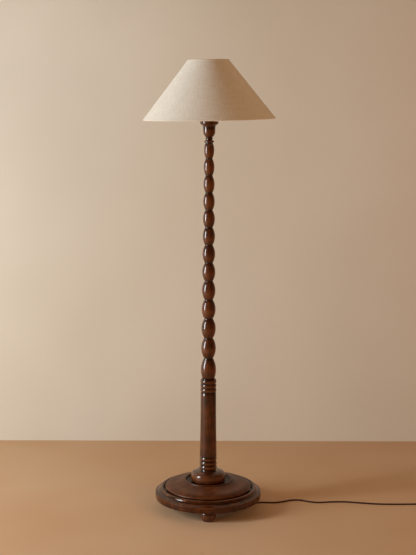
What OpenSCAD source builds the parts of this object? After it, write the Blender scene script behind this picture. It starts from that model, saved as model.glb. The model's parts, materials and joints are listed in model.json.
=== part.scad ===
// Candlestick floor lamp: a turned wooden standard on a round stepped base with three
// bun feet, a brass lampholder and a cone shade that leans a little to one side.
// Origin: on the floor, under the middle of the base. +Z is up.

/* [Base] */
// Height of the gap under the base, which is the height of the feet
foot_h = 38; // [30:1:60]
// Widest diameter of a bun foot
foot_d = 53; // [44:1:64]
// Distance from the plinth's edge in to the middle of a foot
foot_inset = 42.5; // [40:1:60]
// Outer diameter of the plinth, the lower disc
plinth_d = 375; // [360:1:440]
// Thickness of the plinth where the upper disc sits on it
plinth_t = 26; // [24:1:40]
// Height of the plinth's rounded side, up to the sharp line
plinth_side_h = 22.5; // [18:0.5:24]
// Outer diameter of the dish, the upper disc
dish_d = 307; // [290:1:320]
// Height of the dish from the plinth to the floor of its well
dish_h = 33; // [28:1:40]
// Diameter of the rolled lip round the well
lip_d = 164; // [150:1:180]
// Height of the rolled lip above the well
lip_h = 7; // [4:0.5:10]
// Widest diameter of the boss that carries the column
boss_d = 121; // [110:1:130]
// Height of the boss above the floor of the well
boss_h = 40; // [34:1:50]
// Depth that the boss's spigot goes into the dish
boss_spigot_h = 21; // [10:1:22]

/* [Column] */
// Length of the plain lower column, with both groups of rings
lower_h = 330.5; // [280:0.5:400]
// Diameter of the shaft at its foot
shaft_foot_d = 60; // [54:0.5:63]
// Diameter of the shaft at its top
shaft_top_d = 55; // [50:0.5:58]
// Rings in each of the two groups
rings = 3; // [2:1:4]
// Height of one turned ring
ring_h = 15.3; // [10:0.1:18]
// How far a turned ring stands out from its grooves
ring_depth = 2.4; // [1:0.1:4]
// Beads turned on the upper column
beads = 13; // [8:1:16]
// Height of the lowest bead
bead_h_low = 73.5; // [65:0.5:85]
// Height of the highest bead but one
bead_h_high = 58.5; // [50:0.5:65]
// Height of the top bead
bead_h_top = 52; // [45:0.5:60]
// Widest diameter of the lowest bead
bead_d_low = 53.2; // [48:0.1:56]
// Widest diameter of the top bead
bead_d_top = 35.4; // [32:0.1:40]
// Diameter of the lowest neck between two beads
neck_d_low = 32; // [28:0.1:36]
// Diameter of the top neck between two beads
neck_d_top = 23; // [20:0.1:26]
// Diameter at which the ring group cuts off the lowest bead
bead_cut_d = 42; // [38:0.1:44]
// Diameter of the tenon that joins the two columns
tenon_d = 28; // [20:1:30]
// Length of the tenon that joins the two columns
tenon_h = 35; // [20:1:50]

/* [Candle cup] */
// Height of the cup from the top bead to its rim
cup_h = 74; // [65:0.5:85]
// Diameter of the cup's rim
cup_rim_d = 63.6; // [56:0.1:70]
// Diameter of the cup's body
cup_body_d = 42; // [37:0.1:46]
// Diameter of the thin neck under the cup
cup_neck_d = 22.4; // [20:0.1:26]
// Diameter of the sharp ring between cup and beads
cup_ring_d = 35; // [30:0.1:38]
// Diameter of the brass plate let into the cup
cup_plate_d = 48; // [44:1:54]

/* [Tie tube] */
// Outer diameter of the threaded tube through the column
tube_d = 10; // [9:0.1:10.2]
// Bore of the threaded tube
tube_bore_d = 7.4; // [7:0.1:7.8]
// Clearance all round the tube in its bore
tube_gap = 0.3; // [0.1:0.05:0.5]

/* [Lampholder] */
// Lean of the lampholder and shade to the left, in degrees
head_lean = 1.1; // [0:0.1:3]
// Outer diameter of the lampholder's shell
holder_d = 38; // [37:0.1:39]
// Height of the lampholder's shell
holder_h = 56; // [52:1:64]
// Height of the flange that the shade carrier sits on, above the cup
flange_z = 36; // [34:1:40]
// Diameter of the flange and of the two rings on it
flange_d = 50; // [48:1:56]
// Travel of the push-bar switch
switch_travel = 6; // [3:0.5:8]
// Diameter of the push bar
switch_bar_d = 6; // [5:0.1:7]
// Length of the push bar
switch_bar_l = 58; // [54:1:64]

/* [Bulb] */
// Diameter of the bulb's glass
bulb_d = 60; // [45:1:62]
// Diameter of the bulb's screw cap
bulb_cap_d = 25.8; // [25:0.1:26]
// Height of the bulb from its contact to the top of its glass
bulb_h = 109; // [104:1:116]

/* [Shade] */
// Diameter of the shade at its bottom edge
shade_bottom_d = 451; // [400:1:520]
// Diameter of the shade at its top edge
shade_top_d = 138.5; // [110:1:160]
// Upright height of the shade
shade_h = 198; // [190:0.1:240]
// Height of the shade's bottom edge above the cup's rim
shade_lift_z = 8; // [2:0.1:10]
// Thickness of the linen and its stiff lining
shade_wall = 1.2; // [0.8:0.1:2]
// Height of the binding tape on both edges
binding_h = 5.5; // [4:0.5:10]
// Height of the shade carrier from its lower ring to its upper ring
carrier_h = 145; // [138:1:152]
// Mean diameter of the carrier's upper ring
carrier_ring_d = 52; // [48:1:56]
// How far the carrier's arms bow out round the bulb
carrier_bow = 17; // [12:0.5:22]
// Diameter of the frame wires
wire_d = 3; // [2.4:0.1:3.4]

/* [Cord] */
// Diameter of the cord
cord_d = 5.5; // [4.5:0.1:6]
// Turns in the coil that the spare cord is wound into
coil_turns = 7; // [5:1:8]
// Radius of the coil's outermost turn
coil_r = 43.5; // [43.5:0.5:52]
// Distance between neighbouring turns, centre to centre
coil_pitch = 6.1; // [6.05:0.05:6.4]
// Distance between the plug's two pins
pin_spacing = 18.6; // [17:0.1:20]

/* [Hidden] */
$fn = 96;

WOOD = "#5b3418";
WOOD_DARK = "#4a2812";
BRASS = "#b08a3e";
STEEL = "#9a9a96";
LINEN = "#e2d3b8";
CORD = "#3a2214";

fit_gap = 0.2;                          // glued and pressed turnings
slack = 0.3;                            // parts that move past each other
skin_gap = 0.08;                        // cloth and tape laid on each other

// Levels of the stack, from the floor up
plinth_z = foot_h;
dish_z = plinth_z + plinth_t;
boss_z = dish_z + dish_h;
lower_z = boss_z + boss_h;
upper_z = lower_z + lower_h;

// Upper column: the beads grow downwards, faster towards the foot
bead_growth = 1.8;
function bead_h(k) =
  k == beads - 1 ? bead_h_top
  : bead_h_high + (bead_h_low - bead_h_high) * pow((beads - 2 - k) / (beads - 2), bead_growth);
function bead_z(k) = k == 0 ? 0 : bead_z(k - 1) + bead_h(k - 1);
function mix(a, b, t) = a + (b - a) * t;
function bead_r(k) = mix(bead_d_low, bead_d_top, k / (beads - 1)) / 2;
function neck_r(k) =
  k == 0 ? bead_cut_d / 2
  : k == beads ? cup_seat_r
  : mix(neck_d_low, neck_d_top, (k - 1) / (beads - 2)) / 2;
cup_seat_r = neck_d_top / 2 + 1.8;
upper_h = bead_z(beads);
cup_z = upper_z + upper_h;
cup_top_z = cup_z + cup_h;

bore_r = tube_d / 2 + tube_gap;
plinth_r = plinth_d / 2;
foot_circle_r = plinth_r - foot_inset;
dish_r = dish_d / 2;
lip_r = lip_d / 2;
boss_r = boss_d / 2;
socket_depth = tenon_h + 1;
boss_tenon_h = 28;
boss_tenon_r = 15;
boss_spigot_r = 18;
nut_recess_r = 32;
washer_r = 25;
washer_t = 2;
nut_t = 6;
tube_end_z = dish_z - washer_t - nut_t - 2;
tube_top_z = cup_top_z + 18;

// ---------- outline helpers ----------

// Arc from p to q that bows out by s, to the right of the way it goes
function bow(p, q, s, n = 8) =
  let (d = q - p, len = norm(d), u = d / len, v = [u[1], -u[0]],
       r = (len * len / 4 + s * s) / (2 * s), half = asin(len / 2 / r),
       c = (p + q) / 2 - v * (r - s))
  [for (i = [0 : n]) let (a = half * (2 * i / n - 1)) c + r * (v * cos(a) + u * sin(a))];

// A stack of half-round rings between radius r and r + depth
function ring_stack(z, r, count, height, depth) =
  [for (i = [0 : count - 1])
    each bow([r, z + i * height + 0.2], [r, z + (i + 1) * height - 0.2], depth, 6)];

// Turns an outline that starts and ends away from the axis
module turned(outline) {
  rotate_extrude() polygon(concat([[0, outline[0][1]]], outline,
                                  [[0, outline[len(outline) - 1][1]]]));
}

module bore(r, z0, z1) {
  translate([0, 0, z0]) cylinder(r = r, h = z1 - z0);
}

module washer_shape(r_out, r_in, z0, z1) {
  difference() {
    translate([0, 0, z0]) cylinder(r = r_out, h = z1 - z0);
    bore(r_in, z0 - 1, z1 + 1);
  }
}

module ring_wire(r, z, d) {
  translate([0, 0, z]) rotate_extrude() translate([r, 0]) circle(d = d, $fn = 32);
}

// ---------- base ----------

foot_angles = [-90, 150, 30];           // front, left, right
foot_tenon_r = 8;
foot_tenon_h = 18;
plinth_screw_r = 2.2;
plinth_screw_circle_r = 100;
plinth_screw_angles = [90, 210, 330];

module foot(angle) {
  r = foot_d / 2;
  pad_r = r - 8;
  translate([foot_circle_r * cos(angle), foot_circle_r * sin(angle), 0]) {
    turned(concat([[pad_r, 0]],
                  bow([pad_r + 0.8, 0.5], [r, foot_h * 0.5], 2.6, 8),
                  bow([r, foot_h * 0.52], [r - 4.5, foot_h - 1.2], 1.3, 6),
                  [[r - 6.5, foot_h]]));
    bore(foot_tenon_r, foot_h - 1, foot_h + foot_tenon_h);
  }
}

rim_gap = 3;                            // from the dish's edge out to the bead round it
plinth_arris_r = plinth_r - 1;
plinth_quirk_r = plinth_r - 2.6;
plinth_bead_r = dish_r + rim_gap;
plinth_bead_w = (plinth_quirk_r - plinth_bead_r) * 0.54;
module plinth() {
  color(WOOD) difference() {
    translate([0, 0, plinth_z])
      turned(concat([[plinth_r - 2.4, 0]],
                    bow([plinth_r - 1.5, 0.8], [plinth_arris_r, plinth_side_h], 0.9, 8),
                    bow([plinth_quirk_r, plinth_side_h + 0.5],
                        [plinth_bead_r + plinth_bead_w + 0.4, plinth_t + 3.4], -1.2, 6),
                    bow([plinth_bead_r + plinth_bead_w, plinth_t + 3.8],
                        [plinth_bead_r, plinth_t + 8.4], plinth_bead_w * 0.4, 14),
                    [[plinth_bead_r - 4, plinth_t]]));
    bore(nut_recess_r, plinth_z - 1, dish_z + 1);
    for (a = foot_angles)
      translate([foot_circle_r * cos(a), foot_circle_r * sin(a), 0])
        bore(foot_tenon_r + fit_gap, plinth_z - 1, plinth_z + foot_tenon_h + 1);
    for (a = plinth_screw_angles)
      rotate([0, 0, a]) translate([plinth_screw_circle_r, 0, 0]) {
        bore(plinth_screw_r + fit_gap, plinth_z - 1, dish_z + 1);
        bore(5, plinth_z - 1, plinth_z + 4);
      }
    for (y = [-clamp_screw_y, clamp_screw_y])
      translate([clamp_x, y, 0]) bore(clamp_screw_r + 0.1, plinth_z - 1, plinth_z + 14);
  }
}

module dish() {
  nose_r = dish_r - 4;
  screw_depth = 12;
  color(WOOD) difference() {
    translate([0, 0, dish_z])
      turned(concat([[nose_r - 3, 0], [nose_r - 3, 10]],
                    bow([nose_r - 0.5, 11.2], [nose_r + 1.2, 16.4], 2.2, 8),
                    bow([nose_r + 0.8, 16.8], [dish_r - 27, 26], 2.2, 8),
                    bow([dish_r - 28, 26.2], [lip_r + 4.4, dish_h + lip_h - 3], -2.2, 10),
                    bow([lip_r + 3.6, dish_h + lip_h - 3.2], [lip_r - 3.2, dish_h + lip_h - 3], 3.1, 8),
                    bow([lip_r - 3.6, dish_h + lip_h - 3.4], [lip_r - 8, dish_h], -0.8, 4)));
    bore(bore_r, dish_z - 1, boss_z + 1);
    bore(boss_spigot_r + fit_gap, boss_z - boss_spigot_h - 0.5, boss_z + 1);
    for (a = plinth_screw_angles)
      rotate([0, 0, a]) translate([plinth_screw_circle_r, 0, 0])
        bore(plinth_screw_r + 0.1, dish_z - 1, dish_z + screw_depth + 1);
  }
}

module plinth_screws() {
  color(STEEL)
    for (a = plinth_screw_angles)
      rotate([0, 0, a]) translate([plinth_screw_circle_r, 0, 0]) {
        bore(plinth_screw_r, plinth_z + 1, dish_z + 12);
        bore(4.6, plinth_z + 1, plinth_z + 3.8);
      }
}

module boss() {
  color(WOOD) difference() {
    union() {
      translate([0, 0, boss_z])
        turned(concat([[boss_r - 4.5, 0.05]],
                      bow([boss_r - 4.1, 0.6], [boss_r - 0.3, 7.4], 1.2, 4),
                      bow([boss_r - 0.2, 8], [boss_r - 0.3, 18.6], 0.2, 3),
                      bow([boss_r - 0.4, 19.4], [boss_r - 10.5, boss_h - 6], 3, 8),
                      bow([boss_r - 11.5, boss_h - 5.4], [boss_r - 28.5, boss_h], 1.4, 5)));
      bore(boss_spigot_r, boss_z - boss_spigot_h, boss_z + 1);
    }
    bore(bore_r, boss_z - boss_spigot_h - 1, lower_z + 1);
    bore(boss_tenon_r + fit_gap, lower_z - boss_tenon_h - 1, lower_z + 1);
  }
}

// ---------- column ----------

module lower_column() {
  foot_cove_h = 3;
  foot_r = shaft_foot_d / 2;
  top_r = shaft_top_d / 2;
  rings_h = rings * ring_h;
  shaft_z0 = foot_cove_h + rings_h + 1.5;
  shaft_z1 = lower_h - rings_h - 6;
  shaft_steps = 10;
  color(WOOD) difference() {
    union() {
      translate([0, 0, lower_z])
        turned(concat([[foot_r - 1.5, 0.05], [foot_r - 2.5, foot_cove_h - 0.5]],
                      ring_stack(foot_cove_h, foot_r - 1.8, rings, ring_h, ring_depth),
                      [for (i = [0 : shaft_steps]) let (t = i / shaft_steps)
                        [mix(top_r, foot_r, (1 - t) * (1 - t)), mix(shaft_z0, shaft_z1, t)]],
                      bow([top_r - 0.2, shaft_z1 + 0.5], [top_r - 2.2, shaft_z1 + 3.6], 0.6, 4),
                      ring_stack(shaft_z1 + 4, top_r - 1.6, rings, ring_h, ring_depth),
                      [[top_r - 2.6, lower_h]]));
      bore(boss_tenon_r, lower_z - boss_tenon_h, lower_z + 1);
    }
    bore(bore_r, lower_z - boss_tenon_h - 1, upper_z + 1);
    bore(tenon_d / 2 + fit_gap, upper_z - socket_depth, upper_z + 1);
  }
}

module upper_column() {
  cup_socket_r = cup_spigot_r + fit_gap;
  color(WOOD) difference() {
    union() {
      translate([0, 0, upper_z])
        turned([for (k = [0 : beads - 1])
          each bow([neck_r(k), bead_z(k) + (k == 0 ? 0.05 : 0.3)], [neck_r(k + 1), bead_z(k + 1) - 0.3],
                   bead_r(k) - (neck_r(k) + neck_r(k + 1)) / 2, 10)]);
      bore(tenon_d / 2, upper_z - tenon_h, upper_z + 1);
    }
    bore(bore_r, upper_z - tenon_h - 1, cup_z + 1);
    bore(cup_socket_r, cup_z - cup_spigot_h - 0.5, cup_z + 1);
  }
}

cup_spigot_r = 8;
cup_spigot_h = 22;
plate_t = 2;
plate_recess = 2.4;
plate_screw_r = 1.5;
plate_screw_l = 12;
plate_screw_circle_r = 17;
plate_screw_angles = [30, 150, 270];
plate_top_z = cup_top_z - plate_recess + plate_t;

module candle_cup() {
  ring_r = cup_ring_d / 2;
  neck = cup_neck_d / 2;
  body = cup_body_d / 2;
  rim = cup_rim_d / 2;
  body_top = cup_h - 21;
  color(WOOD) difference() {
    union() {
      translate([0, 0, cup_z])
        turned(concat([[cup_seat_r, 0.05], [cup_seat_r + 0.3, 2]],
                      bow([ring_r - 2.8, 2.8], [ring_r - 2.8, 9.2], 2.8, 6),
                      [[neck, 11.5], [neck, 14]],
                      bow([neck + 0.8, 14.6], [neck + 0.8, 18.2], 1.4, 4),
                      [[neck, 19.2]],
                      bow([neck + 0.4, 20.3], [body - 0.2, 38], 2, 8),
                      [[body, 42], [body + 0.1, body_top]],
                      bow([body + 0.3, body_top + 0.6], [rim - 5.5, cup_h - 12], -1.2, 6),
                      bow([rim - 5, cup_h - 11.5], [rim, cup_h - 5], 1.2, 6),
                      [[rim, cup_h]]));
      bore(cup_spigot_r, cup_z - cup_spigot_h, cup_z + 1);
    }
    bore(bore_r, cup_z - cup_spigot_h - 1, cup_top_z + 1);
    bore(cup_plate_d / 2 + 0.3, cup_top_z - plate_recess, cup_top_z + 1);
    for (a = plate_screw_angles)
      rotate([0, 0, a]) translate([plate_screw_circle_r, 0, 0])
        bore(plate_screw_r + 0.1, plate_top_z - plate_screw_l - 1, cup_top_z);
  }
}

module cup_plate() {
  color(BRASS) difference() {
    bore(cup_plate_d / 2, cup_top_z - plate_recess, plate_top_z);
    bore(bore_r, cup_top_z - 10, cup_top_z + 10);
    for (a = plate_screw_angles)
      rotate([0, 0, a]) translate([plate_screw_circle_r, 0, 0])
        bore(plate_screw_r + fit_gap, cup_top_z - 10, cup_top_z + 1);
  }
}

module cup_plate_screws() {
  color(BRASS)
    for (a = plate_screw_angles)
      rotate([0, 0, a]) translate([plate_screw_circle_r, 0, 0]) {
        bore(plate_screw_r, plate_top_z - plate_screw_l, plate_top_z + 0.5);
        translate([0, 0, plate_top_z])
          turned(concat([[3, 0.05]], bow([2.9, 0.2], [1.2, 1.3], 0.35, 4)));
      }
}

module tie_tube() {
  color(STEEL) washer_shape(tube_d / 2, tube_bore_d / 2, tube_end_z, tube_top_z);
}

module base_washer() {
  color(STEEL) washer_shape(washer_r, bore_r, dish_z - washer_t, dish_z);
}

module hex_nut(flats, z0, z1) {
  difference() {
    translate([0, 0, z0]) cylinder(r = flats / 2 / cos(30), h = z1 - z0, $fn = 6);
    bore(tube_d / 2 + 0.1, z0 - 1, z1 + 1);
  }
}

module base_nut() {
  color(STEEL) hex_nut(17, dish_z - washer_t - nut_t, dish_z - washer_t);
}

module top_nut() {
  color(BRASS) hex_nut(17, plate_top_z, plate_top_z + 4);
}

// ---------- lampholder, in a frame that leans about the middle of the cup's rim ----------

module head() {
  translate([0, 0, cup_top_z]) rotate([0, -head_lean, 0]) children();
}

holder_r = holder_d / 2;
holder_wall = 1;
shell_z0 = 20.5;
shell_z1 = shell_z0 + holder_h;
flange_top = flange_z + 2;
flange_r = flange_d / 2;
thread_r = holder_r + 0.6;
switch_z = 29;
insulator_t = 9;
insulator_top = flange_top + insulator_t;
socket_z1 = shell_z1 - 3;
bulb_cap_r = bulb_cap_d / 2;

module holder_cap() {
  neck = 8;
  skirt_r = holder_r + 1.6;
  skirt_in = holder_r + 0.2;
  tube_hole = bore_r + 0.15;
  color(BRASS) head() rotate_extrude()
    polygon(concat([[tube_hole, 5], [neck, 5], [neck, 9]],
                   bow([neck + 0.4, 9.6], [skirt_r, 18.5], 2.6, 8),
                   [[skirt_r, 26], [skirt_in, 26], [skirt_in, 19.4]],
                   bow([skirt_in - 0.6, 18.6], [neck, 13.5], -2, 6),
                   [[tube_hole, 13.5]]));
}

module holder_shell() {
  color(BRASS) head() difference() {
    union() {
      washer_shape(holder_r, holder_r - holder_wall, shell_z0, shell_z1);
      washer_shape(flange_r, holder_r - 2.5, flange_z, flange_top);
      washer_shape(thread_r, holder_r - holder_wall, flange_top - 0.5, shell_z1 - 8);
    }
    translate([-50, 0, switch_z]) rotate([0, 90, 0]) cylinder(d = switch_bar_d + 0.4, h = 100);
  }
}

core_y = 7;
core_hole_r = 1.6;
module holder_insulator() {
  color("#e9e4d8") head() difference() {
    bore(holder_r - holder_wall - fit_gap, flange_top, insulator_top);
    for (s = [-1, 1]) translate([0, s * core_y, 0])
      bore(core_hole_r, flange_z, insulator_top + 1);
  }
}

module holder_thread() {
  color(BRASS) head() {
    washer_shape(bulb_cap_r + 0.8, bulb_cap_r + 0.3, insulator_top, socket_z1);
    washer_shape(bulb_cap_r + 2.2, bulb_cap_r + 0.3, insulator_top, insulator_top + 0.8);
  }
}

module holder_contact() {
  color(BRASS) head() translate([0, 0, insulator_top])
    turned(concat([[4.5, 0]], bow([4.4, 0.1], [1.5, 1.4], 0.3, 4)));
}

// The two cores of the cord, parted round the push bar
module holder_cores() {
  core_r = 1.1;
  color("#8a5a2a") for (s = [-1, 1])
    tube([[0, s * 1.4, tube_top_z + 3.3], [0, s * 1.6, tube_top_z + 4.6],
          [0, s * 3, tube_top_z + 6.4], [0, s * 5.4, tube_top_z + 8.6],
          [-0.4, s * core_y, cup_top_z + 32], [-0.8, s * core_y, cup_top_z + flange_top + 4]],
         core_r, 8);
}

module switch_bar() {
  tip = 1;
  left_x = -(switch_bar_l + switch_travel) / 2;
  color("#2a1a10") head() translate([left_x, 0, switch_z]) rotate([0, 90, 0])
    turned([[switch_bar_d / 2 - tip, 0], [switch_bar_d / 2, tip],
            [switch_bar_d / 2, switch_bar_l - tip], [switch_bar_d / 2 - tip, switch_bar_l]]);
}

carrier_plate_z = flange_top + slack;
carrier_plate_t = 1.5;
clamp_ring_z = carrier_plate_z + carrier_plate_t + slack;
clamp_ring_h = 6;
grips = 24;

module shade_clamp_ring() {
  grip_r = 1.2;
  color("#2a1a10") head() difference() {
    washer_shape(flange_r, thread_r + fit_gap, clamp_ring_z, clamp_ring_z + clamp_ring_h);
    for (i = [0 : grips - 1]) rotate([0, 0, i * 360 / grips]) translate([flange_r + 0.4, 0, 0])
      bore(grip_r, clamp_ring_z - 1, clamp_ring_z + clamp_ring_h + 1);
  }
}

// ---------- shade, in the same leaning frame ----------

wire_r = wire_d / 2;
carrier_plate_top = carrier_plate_z + carrier_plate_t;
carrier_foot_r = flange_r + 3;
carrier_ring_z = carrier_plate_z + carrier_h;
carrier_ring_r = carrier_ring_d / 2;
carrier_ring_t = 1.5;
fitter_z = carrier_ring_z + carrier_ring_t + slack;
fitter_t = 1.5;
arm_angles = [90, 210, 330];

// One bowed arm in the plane of X and Z, as part of a ring
module bowed_arm(p, q, s) {
  d = q - p;
  len = norm(d);
  r = (len * len / 4 + s * s) / (2 * s);
  half = asin(len / 2 / r);
  v = [d[1], -d[0]] / len;
  c = (p + q) / 2 - v * (r - s);
  translate([c[0], 0, c[1]]) rotate([90, 0, 0]) rotate([0, 0, atan2(v[1], v[0]) - half])
    rotate_extrude(angle = 2 * half) translate([r, 0]) circle(r = wire_r, $fn = 32);
}

module carrier_plate() {
  color(BRASS) head()
    washer_shape(carrier_foot_r + wire_r, thread_r + 0.5, carrier_plate_z, carrier_plate_top);
}

// Soldered between the plate and the ring
module carrier_arm(angle) {
  z0 = carrier_plate_top;
  z1 = carrier_ring_z;
  room = 2 * carrier_foot_r + carrier_bow;
  color(BRASS) head() rotate([0, 0, angle]) intersection() {
    bowed_arm([carrier_foot_r, z0 - 1], [carrier_ring_r, z1 + 1], carrier_bow);
    translate([0, -wire_d, z0]) cube([room, 2 * wire_d, z1 - z0]);
  }
}

module carrier_arm_back() {
  carrier_arm(arm_angles[0]);
}

module carrier_arm_left() {
  carrier_arm(arm_angles[1]);
}

module carrier_arm_right() {
  carrier_arm(arm_angles[2]);
}

module carrier_ring() {
  ring_w = 7;
  color(BRASS) head()
    washer_shape(carrier_ring_r + ring_w / 2, carrier_ring_r - ring_w / 2, carrier_ring_z,
                 carrier_ring_z + carrier_ring_t);
}

shade_r = shade_bottom_d / 2;
shade_run = (shade_bottom_d - shade_top_d) / 2;
slant = sqrt(shade_h * shade_h + shade_run * shade_run);
// Point on the shade: t along the slant from the bottom edge, n outwards from its face
function shade_pt(t, n) =
  [shade_r - t * shade_run / slant + n * shade_h / slant,
   shade_lift_z + t * shade_h / slant + n * shade_run / slant];
tape_t = 0.5;
inner_face = -shade_wall - skin_gap;
wire_n = inner_face - tape_t - skin_gap - wire_r;
wire_t = 4;

module shade_cover() {
  color(LINEN) head() rotate_extrude()
    polygon([shade_pt(0, 0), shade_pt(slant, 0), shade_pt(slant, -shade_wall), shade_pt(0, -shade_wall)]);
}

// Tape folded over an edge: t0 is the edge and way is +1 at the bottom, -1 at the top
module binding(t0, way) {
  out = skin_gap + tape_t;
  hem = t0 + way * binding_h;
  color(LINEN) head() rotate_extrude()
    polygon([shade_pt(hem, skin_gap), shade_pt(hem, out),
             shade_pt(t0 - way * out, out), shade_pt(t0 - way * out, inner_face - tape_t),
             shade_pt(hem, inner_face - tape_t), shade_pt(hem, inner_face),
             shade_pt(t0 - way * skin_gap, inner_face), shade_pt(t0 - way * skin_gap, skin_gap)]);
}

module shade_top_binding() {
  binding(slant, -1);
}

module shade_bottom_binding() {
  binding(0, 1);
}

module shade_bottom_wire() {
  p = shade_pt(wire_t, wire_n);
  color(STEEL) head() ring_wire(p[0], p[1], wire_d);
}

module rod(p, q, r) {
  d = q - p;
  translate(p) rotate([0, atan2(norm([d[0], d[1]]), d[2]), atan2(d[1], d[0])])
    cylinder(r = r, h = norm(d));
}

fitter_in = carrier_ring_r - 4;
fitter_out = carrier_ring_r + 7;
top_wire = shade_pt(slant - wire_t, wire_n);

module fitter_shape() {
  washer_shape(fitter_out, fitter_in, fitter_z, fitter_z + fitter_t);
}

module shade_fitter() {
  color(STEEL) head() fitter_shape();
}

module shade_top_wire() {
  color(STEEL) head() ring_wire(top_wire[0], top_wire[1], wire_d);
}

// Soldered on the fitter and to the top wire
module shade_spokes() {
  color(STEEL) head() for (a = arm_angles) rotate([0, 0, a + 60]) difference() {
    rod([fitter_out - 2, 0, fitter_z + fitter_t + 0.4], [top_wire[0], 0, top_wire[1]], wire_r - 0.1);
    fitter_shape();
    ring_wire(top_wire[0], top_wire[1], wire_d);
  }
}

// ---------- bulb ----------

bulb_z0 = insulator_top + 1.4 + 0.3;
bulb_cap_z0 = bulb_z0 + 5;
bulb_cap_z1 = bulb_cap_z0 + 24;
bulb_r = bulb_d / 2;
bulb_top = bulb_z0 + bulb_h;
bulb_centre = bulb_top - bulb_r;
glass_t = 0.8;

module bulb_cap() {
  color(STEEL) head() washer_shape(bulb_cap_r, bulb_cap_r - 0.5, bulb_cap_z0, bulb_cap_z1);
}

module bulb_insulator() {
  color("#202020") head() difference() {
    turned([[5.4, bulb_z0 + 1.8], [bulb_cap_r - 0.3, bulb_cap_z0 - 0.1], [bulb_cap_r - 0.7, bulb_cap_z0],
            [bulb_cap_r - 0.7, bulb_cap_z0 + 2]]);
    bore(2.2, bulb_z0, bulb_cap_z0 + 3);
  }
}

module bulb_tip() {
  color(STEEL) head() {
    turned(concat(bow([2.5, bulb_z0], [4.4, bulb_z0 + 1.6], 0.4, 4)));
    bore(2, bulb_z0 + 1, bulb_z0 + 4);
  }
}

// Outline of the glass, shrunk by n for its inner face
function glass_outline(n) =
  let (r = bulb_r - n, neck = bulb_cap_r - 0.7 - n, join = 42,
       p = [r * cos(join), bulb_centre - r * sin(join)])
  concat([[neck, bulb_cap_z1 - 8], [neck, bulb_cap_z1 + 3]],
         bow([neck + 0.2, bulb_cap_z1 + 4], p, -1.6, 8),
         [for (a = [-join + 6 : 8 : 84]) [r * cos(a), bulb_centre + r * sin(a)]],
         [[0.6, bulb_centre + r]]);

module bulb_glass() {
  color("#f4efe2") head() difference() {
    turned(glass_outline(0));
    difference() {
      turned(glass_outline(glass_t));
      bore(bulb_r, bulb_cap_z1 - 9, bulb_cap_z1 - 7.9);
    }
  }
}

stem_z1 = bulb_cap_z1 + 22;
module bulb_stem() {
  color("#dfe6e6") head() {
    turned([[bulb_cap_r - 1.9, bulb_cap_z1 - 6.5], [bulb_cap_r - 1.9, bulb_cap_z1 - 5],
            [4, bulb_cap_z1 + 4], [3, stem_z1 - 3], [4.2, stem_z1]]);
  }
}

module bulb_filaments() {
  stick_r = 0.8;
  color("#e8b85a") head() for (a = [45 : 90 : 315]) rotate([0, 0, a])
    rod([3, 0, stem_z1 + 0.1], [9, 0, stem_z1 + 36], stick_r);
}

// ---------- cord inside the lamp ----------

cord_r = cord_d / 2;
bend_r = 22;
cord_exit_z = tube_end_z - 1 - bend_r;

module inner_cord() {
  bend_z = tube_end_z - 1;
  color(CORD) {
    bore(cord_r, bend_z, tube_top_z + 3);
    translate([bend_r, 0, bend_z]) rotate([90, 0, 0]) rotate([0, 0, 180])
      rotate_extrude(angle = 90) translate([bend_r, 0]) circle(r = cord_r, $fn = 32);
    translate([bend_r, 0, cord_exit_z]) rotate([0, 90, 0]) cylinder(r = cord_r, h = relief_x0 - bend_r);
  }
}

// Two-part cord clamp under the plinth
clamp_x = 52;
clamp_l = 12;
clamp_w = 34;
clamp_screw_y = 11;
clamp_screw_r = 1.7;
relief_x0 = clamp_x + clamp_l / 2 + 1.5;
relief_l = 30;
relief_x1 = relief_x0 + relief_l;

module clamp_block(z0, z1) {
  difference() {
    translate([clamp_x - clamp_l / 2, -clamp_w / 2, z0]) cube([clamp_l, clamp_w, z1 - z0]);
    translate([clamp_x - clamp_l, 0, cord_exit_z]) rotate([0, 90, 0])
      cylinder(r = cord_r + 0.1, h = 2 * clamp_l);
    for (y = [-clamp_screw_y, clamp_screw_y])
      translate([clamp_x, y, 0]) bore(clamp_screw_r + fit_gap, z0 - 1, z1 + 1);
  }
}

module cord_clamp_base() {
  color("#2a1a10") clamp_block(cord_exit_z + 0.3, plinth_z);
}

module cord_clamp_bar() {
  color("#2a1a10") clamp_block(cord_exit_z - cord_r - 2.4, cord_exit_z - 0.3);
}

module cord_clamp_screws() {
  head_z = cord_exit_z - cord_r - 2.4;
  color(STEEL) for (y = [-clamp_screw_y, clamp_screw_y])
    translate([clamp_x, y, 0]) {
      bore(clamp_screw_r, head_z - 0.5, plinth_z + 13);
      translate([0, 0, head_z]) mirror([0, 0, 1])
        turned(concat([[3.2, 0.05]], bow([3.1, 0.3], [1.4, 1.6], 0.4, 4)));
    }
}

// Tapered sleeve that is moulded round the cord and held by the clamp
module strain_relief() {
  sleeve_r0 = 5.2;
  sleeve_r1 = 3.6;
  color("#2a1a10") translate([relief_x0, 0, cord_exit_z]) rotate([0, 90, 0])
    turned([[sleeve_r0, 0], [sleeve_r0, 5], [sleeve_r0 - 1, 6.5], [sleeve_r1, relief_l - 0.6],
            [sleeve_r1 - 0.4, relief_l]]);
}

// ---------- free cord, coil and plug ----------

floor_z = cord_r + 0.05;
cut_gap = 0.1;                          // between two nodes of the same cord
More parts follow.
